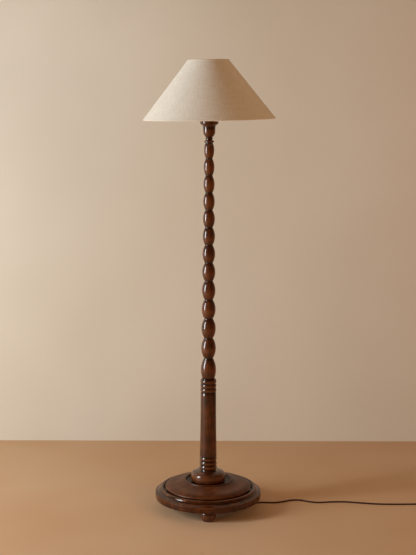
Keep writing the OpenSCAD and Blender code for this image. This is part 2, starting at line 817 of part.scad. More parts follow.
// Route along the floor from the clamp to the coil
cord_route = [
  [relief_x1 + cut_gap, 0, cord_exit_z], [relief_x1 + cord_d, 0, cord_exit_z], [103, 0.8, 29.6],
  [114, 3.5, 25], [126, 8, 17.5], [140, 15, 9.5],
  [154, 23, 4.5], [168, 31, floor_z], [184, 36.5, floor_z], [202, 37.5, floor_z], [222, 35, floor_z],
  [240, 35.5, floor_z], [258, 41, floor_z], [276, 50, floor_z], [296, 60, floor_z],
  [316, 65, floor_z], [334, 62, floor_z], [352, 53, floor_z], [372, 43, floor_z],
  [394, 38, floor_z], [416, 40, floor_z], [440, 44, floor_z], [470, 46, floor_z],
  [500, 44.5, floor_z], [530, 38, floor_z], [560, 31.5, floor_z], [590, 25.5, floor_z],
  [620, 22, floor_z], [655, 21, floor_z], [690, 21.5, floor_z], [725, 22.5, floor_z],
  [760, 23, 3.2], [804, 23, 3.7]
];
route_steps = 2;                        // rings between two points of the route

function catmull(p0, p1, p2, p3, t) =
  0.5 * (2 * p1 + (p2 - p0) * t + (2 * p0 - 5 * p1 + 4 * p2 - p3) * t * t
         + (3 * p1 - p0 - 3 * p2 + p3) * t * t * t);
function smooth(pts, steps) =
  let (last = len(pts) - 1)
  [for (i = [0 : last - 1], j = [0 : steps - 1])
    let (a = pts[max(i - 1, 0)], d = pts[min(i + 2, last)])
    catmull(a, pts[i], pts[i + 1], d, j / steps), pts[last]];

function unit(v) = v / norm(v);
function tangent(pts, i) =
  let (last = len(pts) - 1) unit(pts[min(i + 1, last)] - pts[max(i - 1, 0)]);
// The ring's side and top directions, kept level so that the tube doesn't twist
function side_dir(t) =
  norm([t[0], t[1]]) > 0.2 ? unit([-t[1], t[0], 0]) : unit([0, t[2], -t[1]]);

module tube(pts, r, sides) {
  last = len(pts) - 1;
  rings_pts = [for (i = [0 : last])
    let (t = tangent(pts, i), s = side_dir(t), u = cross(t, s))
    for (k = [0 : sides - 1]) let (a = 360 * (k + 0.5) / sides)
      pts[i] + r * (s * cos(a) + u * sin(a))];
  walls = [for (i = [0 : last - 1], k = [0 : sides - 1])
    let (a = i * sides + k, b = i * sides + (k + 1) % sides, c = a + sides, d = b + sides)
    each [[a, b, d], [a, d, c]]];
  caps = concat([[for (k = [sides - 1 : -1 : 0]) k]], [[for (k = [0 : sides - 1]) last * sides + k]]);
  polyhedron(points = rings_pts, faces = concat([for (f = walls) [f[2], f[1], f[0]]],
                                               [for (f = caps) [for (i = [len(f) - 1 : -1 : 0]) f[i]]]));
}

// The coil winds in over the first half of its turns, climbs a layer in the half turn
// where it reverses, and winds out again on top
coil_x = 812;
coil_y = 23 - coil_r;
coil_z = 3.7;
coil_steps = 24;
function coil_radius(s) = coil_r - coil_pitch * (coil_turns / 2 - abs(s - coil_turns / 2));
function coil_rise(s) = coil_pitch * min(1, max(0, (s - coil_turns / 2 + 0.25) * 2));
function coil_pt(s) =
  [coil_x + coil_radius(s) * sin(360 * s), coil_y + coil_radius(s) * cos(360 * s), coil_z + coil_rise(s)];
plug_x = 856;
plug_z = 7;
coil_turn_pts = [for (i = [0 : coil_turns * coil_steps]) coil_pt(i / coil_steps)];
coil_pts = concat([[coil_x - 8 + cut_gap, 23, coil_z], [coil_x - 8 + cord_d, 23, coil_z]],
                  [for (i = [1 : len(coil_turn_pts) - 1]) coil_turn_pts[i]],
                  [[coil_x + 11, 23, 9.4], [coil_x + 22, 23, 8.5], [coil_x + 33, 23, 7.5],
                   [plug_x - cord_d, 23, plug_z], [plug_x, 23, plug_z]]);

// Least gap between the coil and itself, measured between turns on its centre points
coil_gap = min([for (i = [0 : len(coil_turn_pts) - 1])
  for (j = [i + coil_steps / 2 : len(coil_turn_pts) - 1]) norm(coil_turn_pts[i] - coil_turn_pts[j])])
  - cord_d;
echo(coil_least_gap_mm = coil_gap);

module cord() {
  color(CORD) tube(smooth(cord_route, route_steps), cord_r, 10);
}

module cord_coil() {
  color(CORD) tube(coil_pts, cord_r, 6);
}

// Strap round the bundle of turns, on the side nearest the viewer
module coil_tie() {
  strap_w = 10;
  strap_t = 0.7;
  inner_y = coil_y - coil_radius(coil_turns / 2) + cord_r + 0.4;
  outer_y = coil_y - coil_radius(0.5) - cord_r - 0.4;
  z0 = coil_z - cord_r - strap_t - 0.2;
  z1 = coil_z + coil_pitch + cord_r + 0.3;
  color("#1c1c1c") difference() {
    translate([coil_x - strap_w / 2, outer_y - strap_t, z0])
      cube([strap_w, inner_y - outer_y + 2 * strap_t, z1 - z0 + strap_t]);
    translate([coil_x - strap_w, outer_y, z0 + strap_t])
      cube([2 * strap_w, inner_y - outer_y, z1 - z0 - strap_t]);
  }
}

plug_neck_l = 20;
plug_l = 18;
plug_w = 35;
plug_h = 13.6;
pin_r = 2;
pin_l = 19;
plug_face_x = plug_x + plug_neck_l + plug_l;

module plug_body() {
  chamfer = 6;
  color("#2a1a10") {
    translate([plug_x, 23, plug_z]) rotate([0, 90, 0])
      turned([[3.6, 0.05], [5.6, plug_neck_l - 2], [6.4, plug_neck_l + 1]]);
    translate([plug_x + plug_neck_l, 23, plug_z - plug_h / 2]) linear_extrude(plug_h)
      polygon([[0, -plug_w / 2 + chamfer], [chamfer, -plug_w / 2], [plug_l, -plug_w / 2],
               [plug_l, plug_w / 2], [chamfer, plug_w / 2], [0, plug_w / 2 - chamfer]]);
  }
}

module plug_pins() {
  tip = 0.8;
  color(STEEL) for (s = [-1, 1])
    translate([plug_face_x, 23 + s * pin_spacing / 2, plug_z]) rotate([0, 90, 0])
      turned([[pin_r, 0.05], [pin_r, pin_l - tip], [pin_r - tip, pin_l]]);
}

module front_foot() {
  color(WOOD_DARK) foot(foot_angles[0]);
}

module left_foot() {
  color(WOOD_DARK) foot(foot_angles[1]);
}

module right_foot() {
  color(WOOD_DARK) foot(foot_angles[2]);
}

plinth();
dish();
boss();
front_foot();
left_foot();
right_foot();
plinth_screws();
lower_column();
upper_column();
candle_cup();
tie_tube();
base_washer();
base_nut();
cup_plate();
cup_plate_screws();
top_nut();
holder_cap();
holder_shell();
holder_insulator();
holder_thread();
holder_contact();
holder_cores();
switch_bar();
shade_clamp_ring();
carrier_plate();
carrier_arm_back();
carrier_arm_left();
carrier_arm_right();
carrier_ring();
shade_cover();
shade_fitter();
shade_spokes();
shade_top_wire();
shade_bottom_wire();
shade_top_binding();
shade_bottom_binding();
bulb_cap();
bulb_insulator();
bulb_tip();
bulb_glass();
bulb_stem();
bulb_filaments();
inner_cord();
cord_clamp_base();
cord_clamp_bar();
cord_clamp_screws();
strain_relief();
cord();
cord_coil();
coil_tie();
plug_body();
plug_pins();
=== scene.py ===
"""Candlestick floor lamp: the looks of every piece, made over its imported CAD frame.

Sizes are in millimetres until a mesh is made, and metres from there on. Heights are above
the floor, or above the cup's rim for everything that leans with the lampholder.
"""

from __future__ import annotations

import json
import logging
import math
from dataclasses import dataclass
from enum import Enum
from typing import Any, Mapping, Sequence

import bpy
import numpy as np
from mathutils import Matrix, Vector

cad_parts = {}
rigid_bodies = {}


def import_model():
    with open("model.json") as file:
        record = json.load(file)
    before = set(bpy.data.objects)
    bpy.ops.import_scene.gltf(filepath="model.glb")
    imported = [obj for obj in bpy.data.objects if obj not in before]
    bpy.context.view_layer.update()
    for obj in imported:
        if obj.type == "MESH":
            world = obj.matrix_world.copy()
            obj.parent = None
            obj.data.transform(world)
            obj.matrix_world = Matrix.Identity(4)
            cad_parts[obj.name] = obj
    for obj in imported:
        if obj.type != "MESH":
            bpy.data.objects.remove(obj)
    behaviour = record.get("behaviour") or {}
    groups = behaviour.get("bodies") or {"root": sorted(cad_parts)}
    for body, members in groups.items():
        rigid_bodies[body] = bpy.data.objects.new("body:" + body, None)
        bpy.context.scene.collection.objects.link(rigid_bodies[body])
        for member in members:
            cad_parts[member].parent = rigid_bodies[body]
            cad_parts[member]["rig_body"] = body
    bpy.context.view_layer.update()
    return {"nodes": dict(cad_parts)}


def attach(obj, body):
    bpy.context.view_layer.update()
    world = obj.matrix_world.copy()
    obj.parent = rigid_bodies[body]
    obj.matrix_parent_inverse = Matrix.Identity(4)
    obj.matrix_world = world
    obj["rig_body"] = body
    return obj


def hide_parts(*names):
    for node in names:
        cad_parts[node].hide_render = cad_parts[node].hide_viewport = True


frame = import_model()

log = logging.getLogger("floor_lamp")

Outline = list[tuple[float, float]]
Point = tuple[float, float, float]
MM = 0.001
SHARP = 32.0  # degrees from which an edge stays crisp


# ---------- heights that the sub-assemblies share ----------


@dataclass(frozen=True)
class Stack:
    """Heights at which the sub-assemblies stand on one another."""

    foot_h: float = 38.0
    plinth_t: float = 26.0
    dish_h: float = 33.0
    boss_h: float = 40.0
    lower_h: float = 330.5
    beads: int = 13
    bead_h_low: float = 73.5
    bead_h_high: float = 58.5
    bead_h_top: float = 52.0
    bead_growth: float = 1.8
    cup_h: float = 74.0
    bore_r: float = 5.3
    shaft_tenon_r: float = 15.0
    shaft_tenon_h: float = 28.0
    fit_gap: float = 0.2
    lean: float = 1.1

    @property
    def dish_z(self) -> float:
        """Underside of the dish."""
        return self.foot_h + self.plinth_t

    @property
    def boss_z(self) -> float:
        """Floor of the dish's well."""
        return self.dish_z + self.dish_h

    @property
    def lower_z(self) -> float:
        """Foot of the plain column."""
        return self.boss_z + self.boss_h

    @property
    def upper_z(self) -> float:
        """Foot of the beaded column."""
        return self.lower_z + self.lower_h

    @property
    def cup_z(self) -> float:
        """Foot of the candle cup."""
        return self.upper_z + self.bead_z(self.beads)

    @property
    def cup_top_z(self) -> float:
        """Rim of the candle cup, where everything above begins to lean."""
        return self.cup_z + self.cup_h

    def bead_h(self, k: int) -> float:
        """Height of bead k, counted from the lowest."""
        if k == self.beads - 1:
            return self.bead_h_top
        share = ((self.beads - 2 - k) / (self.beads - 2)) ** self.bead_growth
        return self.bead_h_high + (self.bead_h_low - self.bead_h_high) * share

    def bead_z(self, k: int) -> float:
        """Foot of bead k above the foot of its column."""
        return sum(self.bead_h(i) for i in range(k))


STACK = Stack()


# ---------- outlines ----------


def mix(a: float, b: float, t: float) -> float:
    """Return the value a share t of the way from a to b."""
    return a + (b - a) * t


def bow(p: Sequence[float], q: Sequence[float], rise: float, steps: int = 12) -> Outline:
    """Return points on an arc, as the CAD outlines draw it.

    Args:
        p: Start of the arc, radius and height.
        q: End of the arc.
        rise: How far the arc stands out, to the right of the way from p to q.
        steps: Straight stretches that the arc is drawn with.

    Returns:
        The points from p to q, both included.
    """
    start, end = Vector(p[:2]), Vector(q[:2])
    chord = (end - start).length
    along = (end - start) / chord
    out = Vector((along[1], -along[0]))
    radius = (chord * chord / 4 + rise * rise) / (2 * rise)
    half = math.asin(chord / 2 / radius)
    centre = (start + end) / 2 - out * (radius - rise)
    angles = [half * (2 * i / steps - 1) for i in range(steps + 1)]
    return [tuple(centre + radius * (out * math.cos(a) + along * math.sin(a))) for a in angles]


def ring_stack(z: float, r: float, count: int, height: float, depth: float) -> Outline:
    """Return a stack of half-round turned rings, from the lowest up."""
    rings = [
        bow((r, z + i * height + 0.2), (r, z + (i + 1) * height - 0.2), depth, 10)
        for i in range(count)
    ]
    return [point for ring in rings for point in ring]


def raised(outline: Outline, z: float) -> Outline:
    """Return the outline moved up by z."""
    return [(r, h + z) for r, h in outline]


# ---------- modelling ----------


class Spin(Enum):
    """Axis that an outline is turned about."""

    UPRIGHT = (0.0, 0.0, 1.0)
    ALONG_X = (1.0, 0.0, 0.0)


def deselect() -> None:
    """Leave object mode clean: nothing selected and nothing in edit mode."""
    if bpy.context.mode != "OBJECT":
        bpy.ops.object.mode_set(mode="OBJECT")
    bpy.ops.object.select_all(action="DESELECT")


def pick(piece: bpy.types.Object) -> None:
    """Make one object the selected and active one."""
    deselect()
    piece.select_set(True)
    bpy.context.view_layer.objects.active = piece


def apply_place(piece: bpy.types.Object) -> None:
    """Move an object's place, turn and scale into its mesh."""
    pick(piece)
    bpy.ops.object.transform_apply(location=True, rotation=True, scale=True)


def move_to(piece: bpy.types.Object, place: Sequence[float]) -> bpy.types.Object:
    """Move a piece's mesh to a place in millimetres."""
    piece.location = Vector(place) * MM
    apply_place(piece)
    return piece


def add_object(name: str, data: Any) -> bpy.types.Object:
    """Return a new object of the scene with that data."""
    made = bpy.data.objects.new(name, data)
    bpy.context.scene.collection.objects.link(made)
    return made


def around(radius: float, angle: float) -> tuple[float, float]:
    """Return the place on a circle about the lamp's axis, at an angle in degrees."""
    return (radius * math.cos(math.radians(angle)), radius * math.sin(math.radians(angle)))


def lean(piece: bpy.types.Object) -> bpy.types.Object:
    """Set a piece made about the lampholder's own axis on the cup, leaning as it does."""
    piece.location = (0.0, 0.0, STACK.cup_top_z * MM)
    piece.rotation_euler = (0.0, math.radians(-STACK.lean), 0.0)
    apply_place(piece)
    return piece


def smooth(piece: bpy.types.Object) -> None:
    """Shade a piece smooth, with its sharp edges left crisp."""
    pick(piece)
    bpy.ops.object.shade_smooth_by_angle(angle=math.radians(SHARP))


def use_modifier(piece: bpy.types.Object, kind: str, **settings: Any) -> None:
    """Add a modifier with its settings and apply it.

    Args:
        piece: Object that takes the modifier.
        kind: Blender's name for the modifier.
        settings: Values set on the modifier.
    """
    pick(piece)
    modifier = piece.modifiers.new(kind.title(), kind)
    for name, value in settings.items():
        setattr(modifier, name, value)
    bpy.ops.object.modifier_apply(modifier=modifier.name)


def soften(
    piece: bpy.types.Object, width: float, segments: int = 2, angle: float = SHARP
) -> None:
    """Bevel a piece's sharp edges by width millimetres."""
    use_modifier(
        piece,
        "BEVEL",
        width=width * MM,
        segments=segments,
        limit_method="ANGLE",
        angle_limit=math.radians(angle),
        harden_normals=False,
    )


def tidy_mesh(piece: bpy.types.Object) -> None:
    """Merge doubles and turn all faces outwards."""
    pick(piece)
    bpy.ops.object.mode_set(mode="EDIT")
    bpy.ops.mesh.select_all(action="SELECT")
    bpy.ops.mesh.remove_doubles(threshold=1e-6)
    bpy.ops.mesh.normals_make_consistent(inside=False)
    bpy.ops.object.mode_set(mode="OBJECT")


def turn(
    name: str,
    outline: Outline,
    steps: int = 96,
    loop: bool = False,
    spin: Spin = Spin.UPRIGHT,
) -> bpy.types.Object:
    """Turn an outline about an axis, as on a lathe.

    Args:
        name: Name of the piece.
        outline: Radius and place along the axis of each point, in millimetres.
        steps: Straight stretches round the axis.
        loop: True for a bored piece, whose outline closes on itself. Otherwise both ends
            run in to the axis.
        spin: Axis of the lathe.

    Returns:
        The closed, smooth-shaded piece, at the place that its outline gives.
    """
    points = list(outline)
    if loop:
        points.append(points[0])
    else:
        points = [(0.0, points[0][1]), *points, (0.0, points[-1][1])]
    if spin is Spin.UPRIGHT:
        path = [Vector((r, 0.0, h)) * MM for r, h in points]
    else:
        path = [Vector((h, 0.0, r)) * MM for r, h in points]
    deselect()
    bpy.ops.mesh.primitive_plane_add(size=0.001)
    piece = bpy.context.active_object
    piece.name = name
    bpy.ops.object.mode_set(mode="EDIT")
    bpy.ops.mesh.select_mode(type="VERT")
    bpy.ops.mesh.merge(type="CENTER")
    bpy.ops.transform.translate(value=path[0])
    for here, there in zip(path, path[1:]):
        if (there - here).length > 1e-7:
            bpy.ops.mesh.extrude_region_move(TRANSFORM_OT_translate={"value": there - here})
    bpy.ops.mesh.select_all(action="SELECT")
    bpy.ops.mesh.spin(steps=steps, angle=math.tau, center=(0, 0, 0), axis=spin.value)
    bpy.ops.object.mode_set(mode="OBJECT")
    tidy_mesh(piece)
    smooth(piece)
    return piece


def refined(node: str, bevel: float, segments: int = 2) -> bpy.types.Object:
    """Return a finished copy of a CAD node: one skin, broken edges and smooth rounds.

    Args:
        node: CAD node whose shape is already the real one.
        bevel: Width of the broken edges, in millimetres. None where it is 0.
        segments: Stretches across each broken edge.

    Returns:
        The copy, at the node's place.
    """
    source = frame["nodes"][node]
    piece = add_object(f"{node}_finished", source.data.copy())
    piece.data.materials.clear()
    pick(piece)
    bpy.ops.object.mode_set(mode="EDIT")
    bpy.ops.mesh.select_all(action="SELECT")
    bpy.ops.mesh.remove_doubles(threshold=2e-6)
    bpy.ops.mesh.dissolve_limited(angle_limit=math.radians(1.0))
    bpy.ops.object.mode_set(mode="OBJECT")
    if bevel:
        soften(piece, bevel, segments, 40.0)
    smooth(piece)
    return piece


def cut(piece: bpy.types.Object, cutter: bpy.types.Object) -> None:
    """Take the cutter's shape out of a piece, and throw the cutter away."""
    use_modifier(piece, "BOOLEAN", object=cutter, operation="DIFFERENCE", solver="EXACT")
    bpy.data.objects.remove(cutter)


def block(
    centre: Sequence[float], size: Sequence[float], turned: float = 0.0
) -> bpy.types.Object:
    """Return a plain block.

    Args:
        centre: Middle of the block, in millimetres.
        size: Its length, width and height, in millimetres.
        turned: Angle of its length, in degrees.
    """
    deselect()
    bpy.ops.mesh.primitive_cube_add(
        size=1.0, location=Vector(centre) * MM, rotation=(0, 0, math.radians(turned))
    )
    piece = bpy.context.active_object
    piece.scale = Vector(size) * MM
    apply_place(piece)
    return piece


def joined(name: str, parts: Sequence[bpy.types.Object]) -> bpy.types.Object:
    """Join parts into one piece with that name."""
    deselect()
    for part in parts:
        part.select_set(True)
    bpy.context.view_layer.objects.active = parts[0]
    bpy.ops.object.join()
    parts[0].name = name
    return parts[0]


def age(piece: bpy.types.Object, dirt_and_shade: Sequence[Point], wear_and_sheen: Sequence[Point]) -> None:
    """Store at each vertex, from 0 to 1, how much grime and painted shade darken a turned piece
    there, and how much worn spots and painted sheen lighten it.

    Args:
        piece: Mesh piece.
        dirt_and_shade: Radius, height and size of each groove or recess that grime and painted
            shade darken, in millimetres.
        wear_and_sheen: Radius, height and size of each crown that hands or feet have worn, or that
            a painted sheen lightens.
    """
    at = np.zeros(len(piece.data.vertices) * 3, np.float32)
    piece.data.vertices.foreach_get("co", at)
    at = at.reshape(-1, 3) / MM
    radius, height = np.hypot(at[:, 0], at[:, 1]), at[:, 2]
    for name, places in (("dirt_and_shade", dirt_and_shade), ("wear_and_sheen", wear_and_sheen)):
        total = np.zeros_like(radius)
        for r, z, size in places:
            away = (radius - r) ** 2 + (height - z) ** 2
            total = np.maximum(total, np.exp(-(away / size**2)))
        layer = piece.data.attributes.new(name, "FLOAT", "POINT")
        layer.data.foreach_set("value", np.clip(total, 0.0, 1.0).astype(np.float32))


# ---------- finishes ----------

Socket = bpy.types.NodeSocket
WAVE_SCALE = 0.314  # scale of a wave texture whose bands are 1 m apart


def linear(colour: str) -> tuple[float, float, float, float]:
    """Return a linear RGBA colour for an sRGB hex value such as "#c08040"."""
    parts = [int(colour[i : i + 2], 16) / 255 for i in (1, 3, 5)]
    levels = [c / 12.92 if c <= 0.04045 else ((c + 0.055) / 1.055) ** 2.4 for c in parts]
    return (levels[0], levels[1], levels[2], 1.0)


def mid_colour(a: str, b: str) -> str:
    """Return the hex colour halfway between two hex colours."""
    pairs = [(int(a[i : i + 2], 16), int(b[i : i + 2], 16)) for i in (1, 3, 5)]
    return "#" + "".join(f"{(one + other) // 2:02x}" for one, other in pairs)


@dataclass(frozen=True)
class Nodes:
    """The node tree of a material or the world, with short ways to add to it."""

    tree: bpy.types.NodeTree

    def add(
        self,
        kind: str,
        inputs: Mapping[str | int, Any] | None = None,
        stops: Sequence[tuple[float, str]] = (),
        **settings: Any,
    ) -> bpy.types.Node:
        """Add a shader node with its settings and links.

        Args:
            kind: Node type without its "ShaderNode" prefix.
            inputs: A value, a hex colour or a socket to link, for inputs by name or number.
            stops: Places and hex colours of a colour ramp's stops.
            settings: Properties set on the node.

        Returns:
            The new node.
        """
        node = self.tree.nodes.new("ShaderNode" + kind)
        for name, value in settings.items():
            setattr(node, name, value)
        if stops:
            ramp = node.color_ramp
            while len(ramp.elements) < len(stops):
                ramp.elements.new(1.0)
            for element, (place, colour) in zip(ramp.elements, stops):
                element.position, element.color = place, linear(colour)
        for name, value in (inputs or {}).items():
            if isinstance(value, Socket):
                self.tree.links.new(value, node.inputs[name])
            else:
                value = linear(value) if isinstance(value, str) else value
                node.inputs[name].default_value = value
        return node

    def place(self) -> Socket:
        """Return the place on the object, in metres."""
        return self.add("TexCoord").outputs["Object"]

    def mapped(self, vector: Socket, **inputs: Any) -> Socket:
        """Return a vector shifted by Location, turned by Rotation or stretched by Scale."""
        return self.add("Mapping", {"Vector": vector, **inputs}).outputs[0]

    def noise(self, vector: Socket, scale: float, detail: float, **inputs: float) -> Socket:
        """Return cloudy noise with about scale clouds to the metre."""
        values = {"Vector": vector, "Scale": scale, "Detail": detail, **inputs}
        return self.add("TexNoise", values).outputs[0]

    def waves(
        self, vector: Socket, pitch: float, inputs: Mapping[str, float], **settings: str
    ) -> Socket:
        """Return waves whose crests are pitch millimetres apart."""
        values = {"Vector": vector, "Scale": WAVE_SCALE / (pitch * MM), **inputs}
        return self.add("TexWave", values, **settings).outputs[1]

    def maths(self, operation: str, *values: Socket | float) -> Socket:
        """Return what an operation gives for its values."""
        return self.add("Math", dict(enumerate(values)), operation=operation).outputs[0]

    def spread(self, value: Socket, source: Sequence[float], target: Sequence[float]) -> Socket:
        """Return a value whose source range is spread over the target range."""
        ends = ("From Min", "From Max", "To Min", "To Max")
        inputs = {"Value": value, **dict(zip(ends, (*source, *target)))}
        return self.add("MapRange", inputs).outputs[0]

    def blend(self, share: Socket, under: Socket | str, over: Socket | str) -> Socket:
        """Return one colour laid over another, by a share from 0 to 1."""
        return self.add("Mix", {0: share, 6: under, 7: over}, data_type="RGBA").outputs[2]

    def ramp(self, value: Socket, *stops: tuple[float, str]) -> Socket:
        """Return the colour at a value, between stops that are each a place and a colour."""
        return self.add("ValToRGB", {"Fac": value}, stops).outputs[0]

    def relief(self, height: Socket, depth: float, strength: float) -> Socket:
        """Return the normal of a relief that is depth millimetres deep."""
        inputs = {"Height": height, "Distance": depth * MM, "Strength": strength}
        return self.add("Bump", inputs).outputs[0]

    def painted(self, name: str) -> Socket:
        """Return the number that age() stored on the vertices."""
        return self.add("Attribute", attribute_name=name).outputs["Fac"]


class Grain(Enum):
    """Stretch of a board's grain, as scales along X, Y and Z."""

    UPRIGHT = (1.0, 1.0, 0.045)
    ALONG_X = (0.045, 1.0, 1.0)


class Tooling(Enum):
    """Marks that the lathe tool left: rings up a column, or circles on a disc's face."""

    COLUMN = "BANDS"
    DISC = "RINGS"


@dataclass(frozen=True)
class Finish:
    """A material, made once under its own name.

    Attributes:
        name: Name of the Blender material.
        slot: Material slot of the record that it stands for.
    """

    name: str
    slot: str

    def material(self) -> bpy.types.Material:
        """Return the material, making it the first time."""
        made = bpy.data.materials.get(self.name)
        if made is None:
            made = bpy.data.materials.new(self.name)
            made.use_nodes = True
            made.node_tree.nodes.clear()
            nodes = Nodes(made.node_tree)
            nodes.add("OutputMaterial", {"Surface": self.shade(nodes).outputs[0]})
        return made

    def shade(self, nodes: Nodes) -> bpy.types.Node:
        """Build the surface and return its shader node."""
        raise NotImplementedError


@dataclass(frozen=True)
class PolishedBeech(Finish):
    """Turned beech, stained dark walnut, then oiled and waxed to a soft gloss.

    It shows as a warm red-brown with darker streaks along the grain, near-black where
    polish and dust have gathered in the grooves and painted shade darkens the recesses,
    and redder where hands have worn it or a painted sheen lightens it.

    Attributes:
        grain: Way that the grain runs.
        tooling: Kind of lathe marks.
        turned: Angle of the board about the lamp's axis, in degrees.
        wax: Weight of the wax coat, less where dust and feet have dulled it.
        wax_rough: Roughness of the wax coat.
        bare: Specular level of the wood under the wax.
    """

    slot: str = "polished_wood"
    grain: Grain = Grain.UPRIGHT
    tooling: Tooling = Tooling.COLUMN
    turned: float = 0.0
    wax: float = 1.0
    wax_rough: float = 0.12
    bare: float = 0.1

    def shade(self, nodes: Nodes) -> bpy.types.Node:
        """Build the stained and polished wood."""
        place = nodes.place()
        turned = (0.0, 0.0, math.radians(self.turned))
        board = nodes.mapped(place, Rotation=turned, Location=(0.31, 0.17, 0.05))
        along = nodes.mapped(board, Scale=self.grain.value)
        # growth rings about 5 mm apart, pulled out along the grain
        figure = nodes.noise(along, 190.0, 5.0, Distortion=0.9)
        # fibres and open pores, 0.7 mm wide
        fibre = nodes.noise(along, 1400.0, 3.0)
        # clouds of stain, 35 mm across, taken up unevenly
        cloud = nodes.noise(board, 28.0, 3.0)
        tone = nodes.maths("MULTIPLY_ADD", figure, 0.55, nodes.maths("MULTIPLY", cloud, 0.45))
        colour = nodes.ramp(
            tone, (0.34, "#1f0c03"), (0.47, "#3d1a05"), (0.58, "#542709"), (0.7, "#6c370f")
        )
        pores = nodes.spread(fibre, (0.58, 0.7), (0.0, 0.55))
        # redder on worn crowns, and a painted sheen on the dish's slope
        rubbed_and_sheen = nodes.maths("MULTIPLY", nodes.painted("wear_and_sheen"), cloud)
        # near-black in grooves and recesses: gathered grime with painted shade
        dirt_and_shade = nodes.maths("MULTIPLY", nodes.painted("dirt_and_shade"), 0.85)
        for share, over in ((pores, "#241007"), (rubbed_and_sheen, "#6c3c1d"), (dirt_and_shade, "#130803")):
            colour = nodes.blend(share, colour, over)
        # lathe marks 1.6 mm apart, drawn a little coarse so that they catch the light
        way = "bands_direction" if self.tooling is Tooling.COLUMN else "rings_direction"
        lathe = {"wave_type": self.tooling.value, way: "Z"}
        marks = nodes.waves(place, 1.6, {"Distortion": 1.2, "Detail": 1.0}, **lathe)
        skin = nodes.maths("MULTIPLY_ADD", fibre, 0.6, nodes.maths("MULTIPLY", marks, 0.35))
        inputs = {
            "Base Color": colour,
            "Roughness": nodes.spread(cloud, (0.3, 0.75), (0.34, 0.5)),
            "Normal": nodes.relief(skin, 0.08, 0.5),
            "Specular IOR Level": self.bare,
            "Coat Weight": self.wax,
            "Coat Roughness": self.wax_rough,
            "Coat IOR": 1.5,
        }
        return nodes.add("BsdfPrincipled", inputs)


@dataclass(frozen=True)
class AgedMetal(Finish):
    """Spun, drawn or plated metal that has stood in a room for decades.

    It shows as a clean metal colour under a thin uneven tarnish, with fine draw lines.

    Attributes:
        colour: Clean metal.
        tarnish: Dulled metal.
        rough: Roughness where it is clean.
        thread: Pitch of a screw thread on it, in millimetres, or 0.
    """

    colour: str = "#c8a45a"
    tarnish: str = "#7c5c2c"
    rough: float = 0.28
    thread: float = 0.0

    def shade(self, nodes: Nodes) -> bpy.types.Node:
        """Build the metal."""
        place = nodes.place()
        # tarnish in patches of about 8 mm
        patch = nodes.noise(place, 120.0, 5.0)
        if self.thread:
            bands = {"wave_type": "BANDS", "bands_direction": "Z", "wave_profile": "TRI"}
            height, depth = nodes.waves(place, self.thread, {"Detail": 0.0}, **bands), 0.5
        else:
            # draw lines 0.3 mm apart
            height = nodes.noise(nodes.mapped(place, Scale=(1.0, 1.0, 9.0)), 3000.0, 2.0)
            depth = 0.02
        inputs = {
            "Base Color": nodes.ramp(patch, (0.42, self.colour), (0.7, self.tarnish)),
            "Metallic": 1.0,
            "Roughness": nodes.spread(patch, (0.35, 0.7), (self.rough, self.rough + 0.2)),
            "Normal": nodes.relief(height, depth, 0.6),
        }
        return nodes.add("BsdfPrincipled", inputs)


@dataclass(frozen=True)
class Moulded(Finish):
    """Moulded phenolic, PVC or glazed ceramic: one body colour with a faint skin texture.

    It shows as an even, slightly mottled colour whose gloss wanders a little.

    Attributes:
        colour: Body colour.
        fleck: Colour that it wanders to.
        rough: Roughness of the skin.
        skin: Size of the skin's texture, in millimetres.
        coat: Weight of a clear glaze over it.
    """

    colour: str = "#241610"
    fleck: str = "#35221a"
    rough: float = 0.38
    skin: float = 0.5
    coat: float = 0.0

    def shade(self, nodes: Nodes) -> bpy.types.Node:
        """Build the moulded skin."""
        place = nodes.place()
        mottle = nodes.noise(place, 160.0, 4.0)
        gloss = (self.rough - 0.05, self.rough + 0.08)
        skin = nodes.noise(place, 1 / (self.skin * MM), 1.0)
        inputs = {
            "Base Color": nodes.ramp(mottle, (0.38, self.colour), (0.68, self.fleck)),
            "Roughness": nodes.spread(mottle, (0.3, 0.7), gloss),
            "Normal": nodes.relief(skin, 0.03, 0.5),
            "Coat Weight": self.coat,
            "Coat Roughness": 0.08,
        }
        return nodes.add("BsdfPrincipled", inputs)


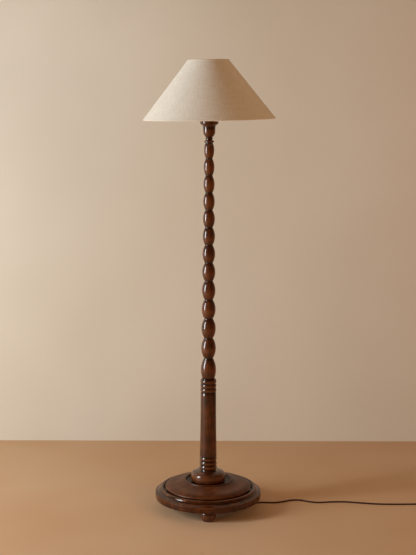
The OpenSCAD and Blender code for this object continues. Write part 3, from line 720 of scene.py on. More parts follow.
@dataclass(frozen=True)
class Linen(Finish):
    """Plain-woven natural flax, laid on a stiff lining or cut as binding tape.

    It shows as a warm off-white with slubs, which are threads that swell for a few
    centimetres, both ways across the cloth, and a faint fuzz at grazing angles.

    Attributes:
        pitch: Distance between threads, in millimetres.
        pale: Colour of the paler threads.
        deep: Colour of the darker threads.
    """

    slot: str = "linen"
    pitch: float = 1.1
    pale: str = "#f1e9db"
    deep: str = "#dcd0bc"

    def shade(self, nodes: Nodes) -> bpy.types.Node:
        """Build the weave from the piece's flat pattern."""
        flat = nodes.add("UVMap", uv_map="cloth").outputs[0]
        # real threads are 0.7 mm apart, and are drawn at the pitch so that a render holds them
        thread = {"Distortion": 0.7, "Detail": 2.0, "Detail Scale": 0.6}
        warp, weft = (
            nodes.waves(flat, self.pitch, thread, wave_type="BANDS", bands_direction=way)
            for way in ("X", "Y")
        )
        # slubs 1.5 mm thick and 40 mm long, along each thread
        slubs = [
            nodes.noise(nodes.mapped(flat, Scale=stretch, Location=(shift, 0.3, 0.0)), 650.0, 2.0)
            for stretch, shift in (((1.0, 0.04, 1.0), 0.0), ((0.04, 1.0, 1.0), 0.7))
        ]
        cloth = nodes.maths("MAXIMUM", *slubs)
        weave = nodes.maths("MULTIPLY", warp, weft)
        thick = nodes.maths("MULTIPLY_ADD", weave, 0.12, cloth)
        middle = mid_colour(self.deep, self.pale)
        height = nodes.maths("MULTIPLY_ADD", cloth, 1.6, weave)
        inputs = {
            "Base Color": nodes.ramp(thick, (0.44, self.deep), (0.58, middle), (0.74, self.pale)),
            "Roughness": 0.88,
            "Normal": nodes.relief(height, 0.22, 0.55),
            "Sheen Weight": 0.15,
            "Sheen Roughness": 0.5,
            "Specular IOR Level": 0.25,
        }
        return nodes.add("BsdfPrincipled", inputs)


@dataclass(frozen=True)
class Stage(Finish):
    """Plain pale floor or wall, which isn't part of the lamp and hides nothing behind it.

    Attributes:
        colour: Its colour.
    """

    slot: str = ""
    colour: str = "#d9bfa2"

    def shade(self, nodes: Nodes) -> bpy.types.Node:
        """Build the plain surface, which is only there from the side that it faces."""
        paler = "#ffffff"
        for _ in range(3):
            paler = mid_colour(self.colour, paler)
        faint = nodes.noise(nodes.place(), 1.3, 2.0)
        tint = nodes.ramp(faint, (0.35, self.colour), (0.65, paler))
        plain = nodes.add("BsdfPrincipled", {"Base Color": tint, "Roughness": 0.75})
        behind = nodes.add("NewGeometry").outputs["Backfacing"]
        clear = nodes.add("BsdfTransparent")
        layers = {0: behind, 1: plain.outputs[0], 2: clear.outputs[0]}
        return nodes.add("MixShader", layers)


COLUMN_WOOD = PolishedBeech("beech_column")
DISC = {"grain": Grain.ALONG_X, "tooling": Tooling.DISC, "bare": 0.0}
PLINTH_WOOD = PolishedBeech("beech_plinth", turned=6.0, wax=0.85, wax_rough=0.15, **DISC)
DISH_WOOD = PolishedBeech("beech_dish", turned=-17.0, wax=0.65, wax_rough=0.34, **DISC)
FOOT_WOOD = PolishedBeech("beech_feet", turned=35.0, wax_rough=0.17)
LACQUERED_BRASS = AgedMetal("lacquered_brass", "brass")
THREADED_BRASS = AgedMetal("threaded_brass", "brass", rough=0.34, thread=1.5)
ZINC_STEEL = AgedMetal("zinc_steel", "steel", "#b4b2ac", "#85827a", 0.36)
THREADED_STEEL = AgedMetal("threaded_steel", "steel", "#a8a69f", "#6f6c64", 0.4, thread=1.0)
NICKEL_PINS = AgedMetal("nickel_pins", "nickel", "#cfcabf", "#a39d90", 0.24)
BAKELITE = Moulded("dark_phenolic", "black_plastic", "#1d110b", "#33201a", 0.3)
SWITCH_PHENOLIC = Moulded("brown_phenolic", "black_plastic", "#2c170d", "#43261a", 0.26)
SLEEVE_PVC = Moulded("brown_pvc", "brown_plastic", "#2d1a10", "#3b2417", 0.44, skin=0.35)
PORCELAIN = Moulded("glazed_porcelain", "ceramic", "#e9e4d8", "#ddd5c4", 0.3, coat=0.6)
OPAL_GLASS = Moulded("opal_glass_bulb", "opal_glass", "#f3eee2", "#e9e2d2", 0.22, coat=0.5)
STEM_GLASS = Moulded("stem_glass", "clear_glass", "#dde4e2", "#cfd8d6", 0.08)
PHOSPHOR = Moulded("phosphor_sticks", "filament", "#e6b24c", "#d69a35", 0.6)
CORE_PVC = Moulded("core_insulation", "core_wire", "#8a5a2a", "#744818", 0.42)
FLEX = Moulded("round_flex", "cord_cover", "#2a170d", "#3a2214", 0.46, skin=0.4)
TIE_TAPE = Moulded("hook_tape", "black_plastic", "#161616", "#2a2a2a", 0.85, skin=0.6)
SHADE_LINEN = Linen("shade_linen")
TAPE_LINEN = Linen("binding_linen", pitch=0.8, pale="#f1e8d9", deep="#ded2be")
LINING = Moulded("styrene_lining", "linen", "#efe8d8", "#e8dfca", 0.55, skin=1.2)


def hand_in(
    piece: bpy.types.Object, node: str, *finishes: Finish, others: Sequence[str] = ()
) -> bpy.types.Object:
    """Dress a finished piece, put it on its body and let it stand for its CAD nodes.

    Args:
        piece: Finished piece.
        node: CAD node that it stands for, whose body it rides on.
        finishes: Finishes of its material slots, in order. The first one's slot is the record's.
        others: Further CAD nodes that it stands for.

    Returns:
        The piece.
    """
    if finishes and not piece.data.materials:
        for finish in finishes:
            piece.data.materials.append(finish.material())
    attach(piece, frame["nodes"][node]["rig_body"])
    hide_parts(node, *others)
    log.info("%s stands for %s", piece.name, ", ".join((node, *others)))
    return piece


def dress(finish: Finish, bevel: float, *nodes: str, segments: int = 2) -> None:
    """Hand in CAD nodes whose own shape is already the real one, with broken edges."""
    for node in nodes:
        hand_in(refined(node, bevel, segments), node, finish)


def slot_screws(
    node: str,
    finish: Finish,
    heads: Sequence[tuple[Point, float]],
    size: Point,
    bevel: float = 0.0,
) -> None:
    """Hand in a CAD node of screws, with a slot cut in each head.

    Args:
        node: CAD node of the screws.
        finish: Their finish.
        heads: Middle of each slot, in millimetres, and the angle that it was left at.
        size: Length, width and height of the block that cuts each slot.
        bevel: Width of the screws' broken edges, in millimetres.
    """
    screws = refined(node, bevel)
    for centre, angle in heads:
        cut(screws, block(centre, size, angle))
    smooth(screws)
    hand_in(screws, node, finish)


# ---------- the lamp's sub-assemblies ----------


@dataclass
class Base:
    """Plinth on three bun feet, with the dish and the boss that carries the column."""

    plinth_r: float = 187.5
    plinth_side_h: float = 22.5
    dish_r: float = 153.5
    rim_gap: float = 3.0
    lip_r: float = 82.0
    lip_h: float = 7.0
    boss_r: float = 60.5
    recess_r: float = 32.0
    foot_r: float = 26.5
    foot_inset: float = 42.5
    foot_angles: tuple[float, ...] = (-90.0, 150.0, 30.0)
    screw_circle_r: float = 100.0
    screw_angles: tuple[float, ...] = (90.0, 210.0, 330.0)
    counterbore_r: float = 5.0
    counterbore_h: float = 4.0
    spigot_r: float = 18.0
    spigot_h: float = 21.0

    def plinth(self) -> None:
        """Make the lower disc: near-upright side, sharp line, rim bead and bores."""
        r, z, top = self.plinth_r, STACK.foot_h, STACK.plinth_t
        quirk, bead = r - 2.6, self.dish_r + self.rim_gap
        bead_w = (quirk - bead) * 0.54
        outline = [
            (r - 2.4, 0.0),
            *bow((r - 1.5, 0.8), (r - 1, self.plinth_side_h), 0.9, 16),
            *bow((quirk, self.plinth_side_h + 0.5), (bead + bead_w + 0.4, top + 3.4), -1.2, 10),
            *bow((bead + bead_w, top + 3.8), (bead, top + 8.4), bead_w * 0.4, 28),
            (bead - 4, top),
            (self.recess_r, top),
            (self.recess_r, 0.0),
        ]
        piece = turn("plinth_turned", raised(outline, z), 160, loop=True)
        for angle in self.screw_angles:
            deselect()
            bpy.ops.mesh.primitive_cylinder_add(
                vertices=32,
                radius=self.counterbore_r * MM,
                depth=2 * self.counterbore_h * MM,
                location=Vector((*around(self.screw_circle_r, angle), z)) * MM,
            )
            cut(piece, bpy.context.active_object)
        smooth(piece)
        # darker at the sharp line, beside the rim bead and in the trough under the dish's edge:
        # grime with painted shade; lighter on the side and the bead
        grooves = [
            (quirk, z + self.plinth_side_h + 0.3, 1.6),
            (bead + bead_w + 0.6, z + top + 3.6, 3.0),
            (bead - 3, z + top + 2, 7.0),
        ]
        crowns = [(r - 1, z + self.plinth_side_h - 1.5, 2.5), (bead + 8, z + top + 13, 5)]
        age(piece, grooves, crowns)
        hand_in(piece, "plinth", PLINTH_WOOD)

    def dish(self) -> None:
        """Make the upper disc: an ogee that rises to a rolled lip round a shallow well."""
        nose, lip, h, z = self.dish_r - 4, self.lip_r, STACK.dish_h, STACK.dish_z
        crest = h + self.lip_h
        outline = [
            (nose - 3, 0.0),
            (nose - 3, 10.0),
            *bow((nose - 0.5, 11.2), (nose + 1.2, 16.4), 2.2, 14),
            *bow((nose + 0.8, 16.8), (self.dish_r - 27, 26), 2.2, 18),
            *bow((self.dish_r - 28, 26.2), (lip + 4.4, crest - 3), -2.2, 24),
            *bow((lip + 3.6, crest - 3.2), (lip - 3.2, crest - 3), 3.1, 18),
            *bow((lip - 3.6, crest - 3.4), (lip - 8, h), -0.8, 8),
            (self.spigot_r + STACK.fit_gap, h),
            (self.spigot_r + STACK.fit_gap, h - self.spigot_h - 0.5),
            (STACK.bore_r, h - self.spigot_h - 0.5),
            (STACK.bore_r, 0.0),
        ]
        piece = turn("dish_turned", raised(outline, z), 160, loop=True)
        # darker under the nose, at the foot of the lip and in the well round the boss: grime with
        # painted shade
        grooves = [
            (nose - 3, z + 5, 6.0),
            (lip + 4, z + crest - 3, 1.5),
            (lip - 8, z + h, 3.0),
            (self.boss_r + 4, z + h, 9.0),
        ]
        # a broad lighter band over the ogee's slope is a painted sheen; the lip and the nose's edge
        # are lighter too
        slope = (self.dish_r - 34, z + 27, 22.0)
        age(piece, grooves, [(lip, z + crest, 3.0), (nose + 2, z + 15.5, 4.0), slope])
        hand_in(piece, "dish", DISH_WOOD)

    def boss(self) -> None:
        """Make the bun that carries the column, with its spigot."""
        r, h, z = self.boss_r, STACK.boss_h, STACK.boss_z
        outline = [
            (r - 4.5, 0.05),
            *bow((r - 4.1, 0.6), (r - 0.3, 7.4), 1.2, 10),
            *bow((r - 0.2, 8), (r - 0.3, 21.0), 0.2, 4),
            *bow((r - 0.4, 21.6), (r - 11, h - 4.6), 3.3, 18),
            *bow((r - 12, h - 4.2), (r - 28.5, h), 1.2, 10),
            (STACK.shaft_tenon_r + STACK.fit_gap, h),
            (STACK.shaft_tenon_r + STACK.fit_gap, h - STACK.shaft_tenon_h - 1),
            (STACK.bore_r, h - STACK.shaft_tenon_h - 1),
            (STACK.bore_r, -self.spigot_h),
            (self.spigot_r, -self.spigot_h),
            (self.spigot_r, 0.05),
        ]
        piece = turn("boss_turned", raised(outline, z), 128, loop=True)
        # darker at its foot, under the shoulder and where the column stands: grime with painted
        # shade; lighter on its side
        grooves = [(r - 4, z, 2.5), (r - 11.5, z + h - 4.4, 1.5), (r - 29, z + h, 4)]
        age(piece, grooves, [(r - 1, z + 20, 12)])
        hand_in(piece, "boss", FOOT_WOOD)

    def feet(self) -> None:
        """Turn one bun foot and set a copy under each of the three places."""
        r, pad, h = self.foot_r, self.foot_r - 8, STACK.foot_h
        outline = [
            (pad, 0.0),
            *bow((pad + 0.8, 0.5), (r, h * 0.5), 2.6, 16),
            *bow((r, h * 0.52), (r - 4.5, h - 1.2), 1.3, 12),
            (r - 6.5, h),
        ]
        first = turn("foot_pattern", outline, 64)
        # darker where the foot meets the floor and the plinth: grime with painted shade; lighter on
        # its belly
        age(first, [(pad, 0.0, 4), (r - 5, h, 5)], [(r, h / 2, 8)])
        circle = self.plinth_r - self.foot_inset
        for name, angle in zip(("front_foot", "left_foot", "right_foot"), self.foot_angles):
            foot = add_object(f"{name}_turned", first.data.copy())
            foot.rotation_euler = (0.0, 0.0, math.radians(angle))
            move_to(foot, (*around(circle, angle), 0.0))
            hand_in(foot, name, FOOT_WOOD)
        bpy.data.objects.remove(first)

    def fastenings(self) -> None:
        """Finish the screws, washer, nut and tube that hold the base together."""
        heads = [
            ((*around(self.screw_circle_r, angle), STACK.foot_h + 1), slit)
            for angle, slit in zip(self.screw_angles, (20.0, 65.0, 110.0))
        ]
        slot_screws("plinth_screws", ZINC_STEEL, heads, (12, 1.2, 2.4), 0.15)
        dress(THREADED_STEEL, 0.3, "tie_tube")
        dress(ZINC_STEEL, 0.3, "base_washer")
        dress(ZINC_STEEL, 0.5, "base_nut")

    def build(self) -> None:
        """Make every piece of the base."""
        for make in (self.plinth, self.dish, self.boss, self.feet, self.fastenings):
            make()


@dataclass
class Column:
    """Plain lower column, beaded upper column and the candle cup."""

    shaft_foot_r: float = 30.0
    shaft_top_r: float = 27.5
    rings: int = 3
    ring_h: float = 15.3
    ring_depth: float = 2.4
    bead_r_low: float = 26.6
    bead_r_top: float = 17.7
    neck_r_low: float = 16.0
    neck_r_top: float = 11.5
    bead_cut_r: float = 21.0
    tenon_r: float = 14.0
    tenon_h: float = 35.0
    cup_rim_r: float = 31.8
    cup_body_r: float = 21.0
    cup_neck_r: float = 11.2
    cup_ring_r: float = 17.5
    spigot_r: float = 8.0
    spigot_h: float = 22.0
    plate_r: float = 24.3
    plate_t: float = 2.4
    plate_screw_r: float = 17.0

    def lower(self) -> None:
        """Make the plain column with a group of rings at each end."""
        z, h, foot, top = STACK.lower_z, STACK.lower_h, self.shaft_foot_r, self.shaft_top_r
        cove, steps = 3.0, 20
        rings_h = self.rings * self.ring_h
        z0, z1 = cove + rings_h + 1.5, h - rings_h - 6
        way = [i / steps for i in range(steps + 1)]
        shaft = [(mix(top, foot, (1 - t) ** 2), mix(z0, z1, t)) for t in way]
        outline = [
            (foot - 1.5, 0.05),
            (foot - 2.5, cove - 0.5),
            *ring_stack(cove, foot - 1.8, self.rings, self.ring_h, self.ring_depth),
            *shaft,
            *bow((top - 0.2, z1 + 0.5), (top - 2.2, z1 + 3.6), 0.6, 5),
            *ring_stack(z1 + 4, top - 1.6, self.rings, self.ring_h, self.ring_depth),
            (top - 2.6, h),
            (self.tenon_r + STACK.fit_gap, h),
            (self.tenon_r + STACK.fit_gap, h - self.tenon_h - 1),
            (STACK.bore_r, h - self.tenon_h - 1),
            (STACK.bore_r, -STACK.shaft_tenon_h),
            (STACK.shaft_tenon_r, -STACK.shaft_tenon_h),
            (STACK.shaft_tenon_r, 0.05),
        ]
        piece = turn("lower_column_turned", raised(outline, z), 96, loop=True)
        # darker in the grooves between the rings: grime with painted shade; lighter on the rings'
        # crowns
        grooves, crowns = [], []
        for deep, proud, start in (
            (foot - 1.8, foot + 0.6, z + cove),
            (top - 1.6, top + 0.8, z + z1 + 4),
        ):
            grooves += [(deep, start + i * self.ring_h, 2.6) for i in range(self.rings + 1)]
            crowns += [(proud, start + (i + 0.5) * self.ring_h, 4) for i in range(self.rings)]
        age(piece, grooves, crowns)
        hand_in(piece, "lower_column", COLUMN_WOOD)

    def neck_r(self, k: int) -> float:
        """Radius of the neck under bead k."""
        if k == 0:
            return self.bead_cut_r
        if k == STACK.beads:
            return self.neck_r_top + 1.8
        return mix(self.neck_r_low, self.neck_r_top, (k - 1) / (STACK.beads - 2))

    def upper(self) -> None:
        """Make the column of beads, which shrink towards the cup."""
        outline: Outline = []
        # darker in each neck: grime with painted shade; lighter on each bead's crown
        necks: list[Point] = [(self.bead_cut_r, STACK.upper_z, 3.5)]
        crowns: list[Point] = []
        for k in range(STACK.beads):
            foot, top = STACK.bead_z(k), STACK.bead_z(k + 1)
            low, high = self.neck_r(k), self.neck_r(k + 1)
            widest = mix(self.bead_r_low, self.bead_r_top, k / (STACK.beads - 1))
            start = (low, foot + (0.05 if k == 0 else 0.3))
            outline += bow(start, (high, top - 0.3), widest - (low + high) / 2, 20)
            necks.append((high, STACK.upper_z + top, 5.0))
            crowns.append((widest, STACK.upper_z + mix(foot, top, 0.42), 15.0))
        end = STACK.bead_z(STACK.beads)
        outline += [
            (self.spigot_r + STACK.fit_gap, outline[-1][1]),
            (self.spigot_r + STACK.fit_gap, end - self.spigot_h - 0.5),
            (STACK.bore_r, end - self.spigot_h - 0.5),
            (STACK.bore_r, -self.tenon_h),
            (self.tenon_r, -self.tenon_h),
            (self.tenon_r, 0.05),
        ]
        piece = turn("upper_column_turned", raised(outline, STACK.upper_z), 96, loop=True)
        age(piece, necks, crowns)
        hand_in(piece, "upper_column", COLUMN_WOOD)

    def cup(self) -> None:
        """Make the candle cup: sharp ring, thin neck with a fillet, body and flat rim."""
        ring, neck, body, rim = self.cup_ring_r, self.cup_neck_r, self.cup_body_r, self.cup_rim_r
        seat, h, z = self.neck_r_top + 1.8, STACK.cup_h, STACK.cup_z
        body_top = h - 21
        outline = [
            (seat, 0.05),
            (seat + 0.3, 2.0),
            *bow((ring - 2.8, 2.8), (ring - 2.8, 9.2), 2.8, 14),
            (neck, 11.5),
            (neck, 14.0),
            *bow((neck + 0.8, 14.6), (neck + 0.8, 18.2), 1.4, 8),
            (neck, 19.2),
            *bow((neck + 0.4, 20.3), (body - 0.2, 38), 2.0, 16),
            (body, 42.0),
            (body + 0.1, body_top),
            *bow((body + 0.3, body_top + 0.6), (rim - 5.5, h - 12), -1.2, 12),
            *bow((rim - 5, h - 11.5), (rim, h - 5), 1.2, 12),
            (rim, h - 0.4),
            (rim - 0.4, h),
            (self.plate_r, h),
            (self.plate_r, h - self.plate_t),
            (STACK.bore_r, h - self.plate_t),
            (STACK.bore_r, -self.spigot_h),
            (self.spigot_r, -self.spigot_h),
            (self.spigot_r, 0.05),
        ]
        piece = turn("candle_cup_turned", raised(outline, z), 96, loop=True)
        # darker at the seat, the neck and under the flare: grime with painted shade; lighter on the
        # ring, rim and body
        grooves = [(seat, z + 1, 4), (neck, z + 13, 3.5), (neck, z + 19.4, 2)]
        crowns = [(ring, z + 6, 3), (rim, z + h - 2, 3), (body, z + 42, 7)]
        age(piece, [*grooves, (body, z + body_top, 3)], crowns)
        hand_in(piece, "candle_cup", COLUMN_WOOD)

    def plate(self) -> None:
        """Finish the brass plate in the cup, its screws and the nut on the tube."""
        dress(LACQUERED_BRASS, 0.2, "cup_plate")
        heads = [
            ((*around(self.plate_screw_r, angle), STACK.cup_top_z + 1.4), slit)
            for angle, slit in ((30.0, 75.0), (150.0, 10.0), (270.0, 140.0))
        ]
        slot_screws("cup_plate_screws", LACQUERED_BRASS, heads, (8, 0.8, 1.6))
        dress(LACQUERED_BRASS, 0.4, "top_nut")

    def build(self) -> None:
        """Make every piece of the column."""
        for make in (self.lower, self.upper, self.cup, self.plate):
            make()


@dataclass
class Lampholder:
    """Brass lampholder with its insulator, contacts, push bar and clamp ring."""

    def build(self) -> None:
        """Finish every piece of the lampholder."""
        for node, finish, bevel in (
            ("holder_cap", LACQUERED_BRASS, 0.25),
            ("holder_shell", THREADED_BRASS, 0.2),
            ("holder_insulator", PORCELAIN, 0.4),
            ("holder_thread", THREADED_BRASS, 0.1),
            ("holder_contact", LACQUERED_BRASS, 0.1),
            ("holder_cores", CORE_PVC, 0.0),
            ("switch_bar", SWITCH_PHENOLIC, 0.5),
            ("shade_clamp_ring", BAKELITE, 0.3),
        ):
            dress(finish, bevel, node)


@dataclass
class Bulb:
    """Globe bulb with a screw cap, standing in the lampholder."""

    glass_r: float = 30.0
    glass_t: float = 0.8
    cap_r: float = 12.9
    cap_z0: float = 53.7
    cap_h: float = 24.0
    centre_z: float = 127.7
    thread_pitch: float = 3.6

    def glass(self) -> None:
        """Blow the opal globe, with its wall's thickness."""
        join, cap_z1 = math.radians(42.0), self.cap_z0 + self.cap_h

        def skin(inset: float) -> Outline:
            """Return the globe's outline, shrunk by inset."""
            r, neck = self.glass_r - inset, self.cap_r - 0.7 - inset
            shoulder = (r * math.cos(join), self.centre_z - r * math.sin(join))
            round_part = [math.radians(a) for a in range(-37, 88, 4)]
            return [
                (neck, cap_z1 - 8),
                (neck, cap_z1 + 3),
                *bow((neck + 0.2, cap_z1 + 4), shoulder, -1.6, 12),
                *[(r * math.cos(a), self.centre_z + r * math.sin(a)) for a in round_part],
                (0.0, self.centre_z + r),
            ]

        outline = skin(0.0) + skin(self.glass_t)[::-1]
        piece = turn("bulb_globe", outline, 72, loop=True)
        hand_in(lean(piece), "bulb_glass", OPAL_GLASS)

    def cap(self) -> None:
        """Roll the screw cap's round thread."""
        turns = int((self.cap_h - 5) / self.thread_pitch)
        start = self.cap_z0 + 1.0
        crests: Outline = []
        for i in range(turns * 8 + 1):
            wave = 0.45 * (1 - math.cos(math.tau * i / 8))
            crests.append((self.cap_r - 0.9 + wave, start + i * self.thread_pitch / 8))
        z1 = self.cap_z0 + self.cap_h
        outline = [
            (self.cap_r - 0.9, self.cap_z0),
            *crests,
            (self.cap_r - 0.1, z1 - 0.4),
            (self.cap_r - 0.1, z1),
            (self.cap_r - 1.2, z1),
            (self.cap_r - 1.2, self.cap_z0),
        ]
        piece = turn("bulb_screw_cap", outline, 64, loop=True)
        hand_in(lean(piece), "bulb_cap", ZINC_STEEL)

    def build(self) -> None:
        """Make every piece of the bulb."""
        self.glass()
        self.cap()
        dress(BAKELITE, 0.2, "bulb_insulator")
        dress(ZINC_STEEL, 0.1, "bulb_tip")
        dress(STEM_GLASS, 0.2, "bulb_stem")
        dress(PHOSPHOR, 0.1, "bulb_filaments")


@dataclass
class Shade:
    """Linen cone on its carrier, with bound edges and a seam at the back."""

    bottom_r: float = 225.5
    top_r: float = 69.25
    height: float = 198.0
    lift: float = 8.0
    wall: float = 1.2
    binding_h: float = 5.5
    skin_gap: float = 0.08
    tape: float = 0.5
    seam_w: float = 9.0

    @property
    def run(self) -> float:
        """How much the radius shrinks from the bottom edge to the top."""
        return self.bottom_r - self.top_r

    @property
    def slant(self) -> float:
        """Length of the cone's side."""
        return math.hypot(self.run, self.height)

    def at(self, t: float, n: float) -> tuple[float, float]:
        """Return a point t along the side from the bottom edge and n out from its face."""
        return (
            self.bottom_r - t * self.run / self.slant + n * self.height / self.slant,
            self.lift + t * self.height / self.slant + n * self.run / self.slant,
        )

    def lay_flat(self, piece: bpy.types.Object, tape: bool = False) -> None:
        """Give a piece the UV map of its flat pattern, in metres.

        Args:
            piece: Piece made about the upright axis, before it leans.
            tape: True for a straight tape, laid along its edge. Otherwise the pattern is the
                cone's sector, on which warp and weft stay straight.
        """
        mesh = piece.data
        layer = mesh.uv_layers.new(name="cloth")
        rate = self.run / self.slant
        for face in mesh.polygons:
            turns = []
            for corner in face.loop_indices:
                x, y, _ = mesh.vertices[mesh.loops[corner].vertex_index].co
                turns.append(math.atan2(x, -y))
            if max(turns) - min(turns) > math.pi:
                turns = [a + math.tau if a < 0 else a for a in turns]
            for corner, angle in zip(face.loop_indices, turns):
                x, y, z = mesh.vertices[mesh.loops[corner].vertex_index].co
                r = math.hypot(x, y)
                if tape:
                    layer.data[corner].uv = (r * angle, z * 1.3)
                else:
                    out, turned = r / rate, angle * rate
                    layer.data[corner].uv = (out * math.sin(turned), -out * math.cos(turned))

    def seam(self) -> bpy.types.Object:
        """Return the lapped joint of the cloth, a strip down the back."""
        deselect()
        bpy.ops.mesh.primitive_plane_add(size=1.0)
        strip = bpy.context.active_object
        hem = self.binding_h - 1
        low, high = self.at(hem, 0.25), self.at(self.slant - hem, 0.25)
        strip.scale = (self.seam_w * MM, math.dist(low, high) * MM, 1.0)
        strip.rotation_euler = (math.atan2(high[1] - low[1], high[0] - low[0]), 0.0, 0.0)
        strip.location = Vector((0.0, (low[0] + high[0]) / 2, (low[1] + high[1]) / 2)) * MM
        apply_place(strip)
        bpy.ops.object.mode_set(mode="EDIT")
        bpy.ops.mesh.select_all(action="SELECT")
        bpy.ops.mesh.subdivide(number_cuts=6)
        bpy.ops.object.mode_set(mode="OBJECT")
        use_modifier(strip, "SOLIDIFY", thickness=0.5 * MM, offset=0.0)
        soften(strip, 0.15)
        tidy_mesh(strip)
        return strip

    def cover(self) -> None:
        """Make the stiffened linen cone, with its lining inside."""
        rows = [i / 10 * self.slant for i in range(11)]
        outline = [self.at(t, 0.0) for t in rows] + [self.at(t, -self.wall) for t in rows[::-1]]
        cone = turn("shade_cone", outline, 180, loop=True)
        self.lay_flat(cone)
        cone.data.materials.append(SHADE_LINEN.material())
        cone.data.materials.append(LINING.material())
        for face in cone.data.polygons:
            outward = Vector(face.center[:2]).normalized()
            face.material_index = int(Vector(face.normal[:2]).dot(outward) < -0.3)
        strip = self.seam()
        self.lay_flat(strip)
        strip.data.materials.append(SHADE_LINEN.material())
        smooth(strip)
        piece = joined("shade_cover_linen", [cone, strip])
        hand_in(lean(piece), "shade_cover", SHADE_LINEN)

    def binding(self, node: str, edge: float, way: int) -> None:
        """Fold the tape over one edge, glued down outside and inside.

        Args:
            node: CAD node of the tape.
            edge: Place of the edge along the side.
            way: 1 at the bottom edge, -1 at the top one.
        """
        gap, out = self.skin_gap, self.skin_gap + self.tape
        inner = -self.wall - gap
        deep = inner - self.tape
        hem = edge + way * self.binding_h
        corners = [
            (hem, gap),
            (hem - way * 0.1, out - 0.12),
            (hem - way * 0.5, out),
            (edge + way * 0.3, out),
            (edge - way * (out - 0.2), out - 0.25),
            (edge - way * out, (out + deep) / 2),
            (edge - way * (out - 0.2), deep + 0.25),
            (edge + way * 0.3, deep),
            (hem - way * 0.5, deep),
            (hem, deep + 0.15),
            (hem, inner),
            (edge - way * gap, inner),
            (edge - way * gap, gap),
        ]
        outline = [self.at(t, n) for t, n in corners]
        tape = turn(f"{node}_tape", outline, 180, loop=True)
        self.lay_flat(tape, tape=True)
        hand_in(lean(tape), node, TAPE_LINEN)

    def frame_wires(self) -> None:
        """Finish the carrier and the shade's own frame."""
        dress(LACQUERED_BRASS, 0.3, "carrier_plate", "carrier_ring")
        dress(LACQUERED_BRASS, 0.0, "carrier_arm_back", "carrier_arm_left", "carrier_arm_right")
        dress(ZINC_STEEL, 0.3, "shade_fitter")
        dress(ZINC_STEEL, 0.0, "shade_spokes", "shade_top_wire", "shade_bottom_wire")

    def build(self) -> None:
        """Make every piece of the shade."""
        self.cover()
        self.binding("shade_bottom_binding", 0.0, 1)
        self.binding("shade_top_binding", self.slant, -1)
        self.frame_wires()


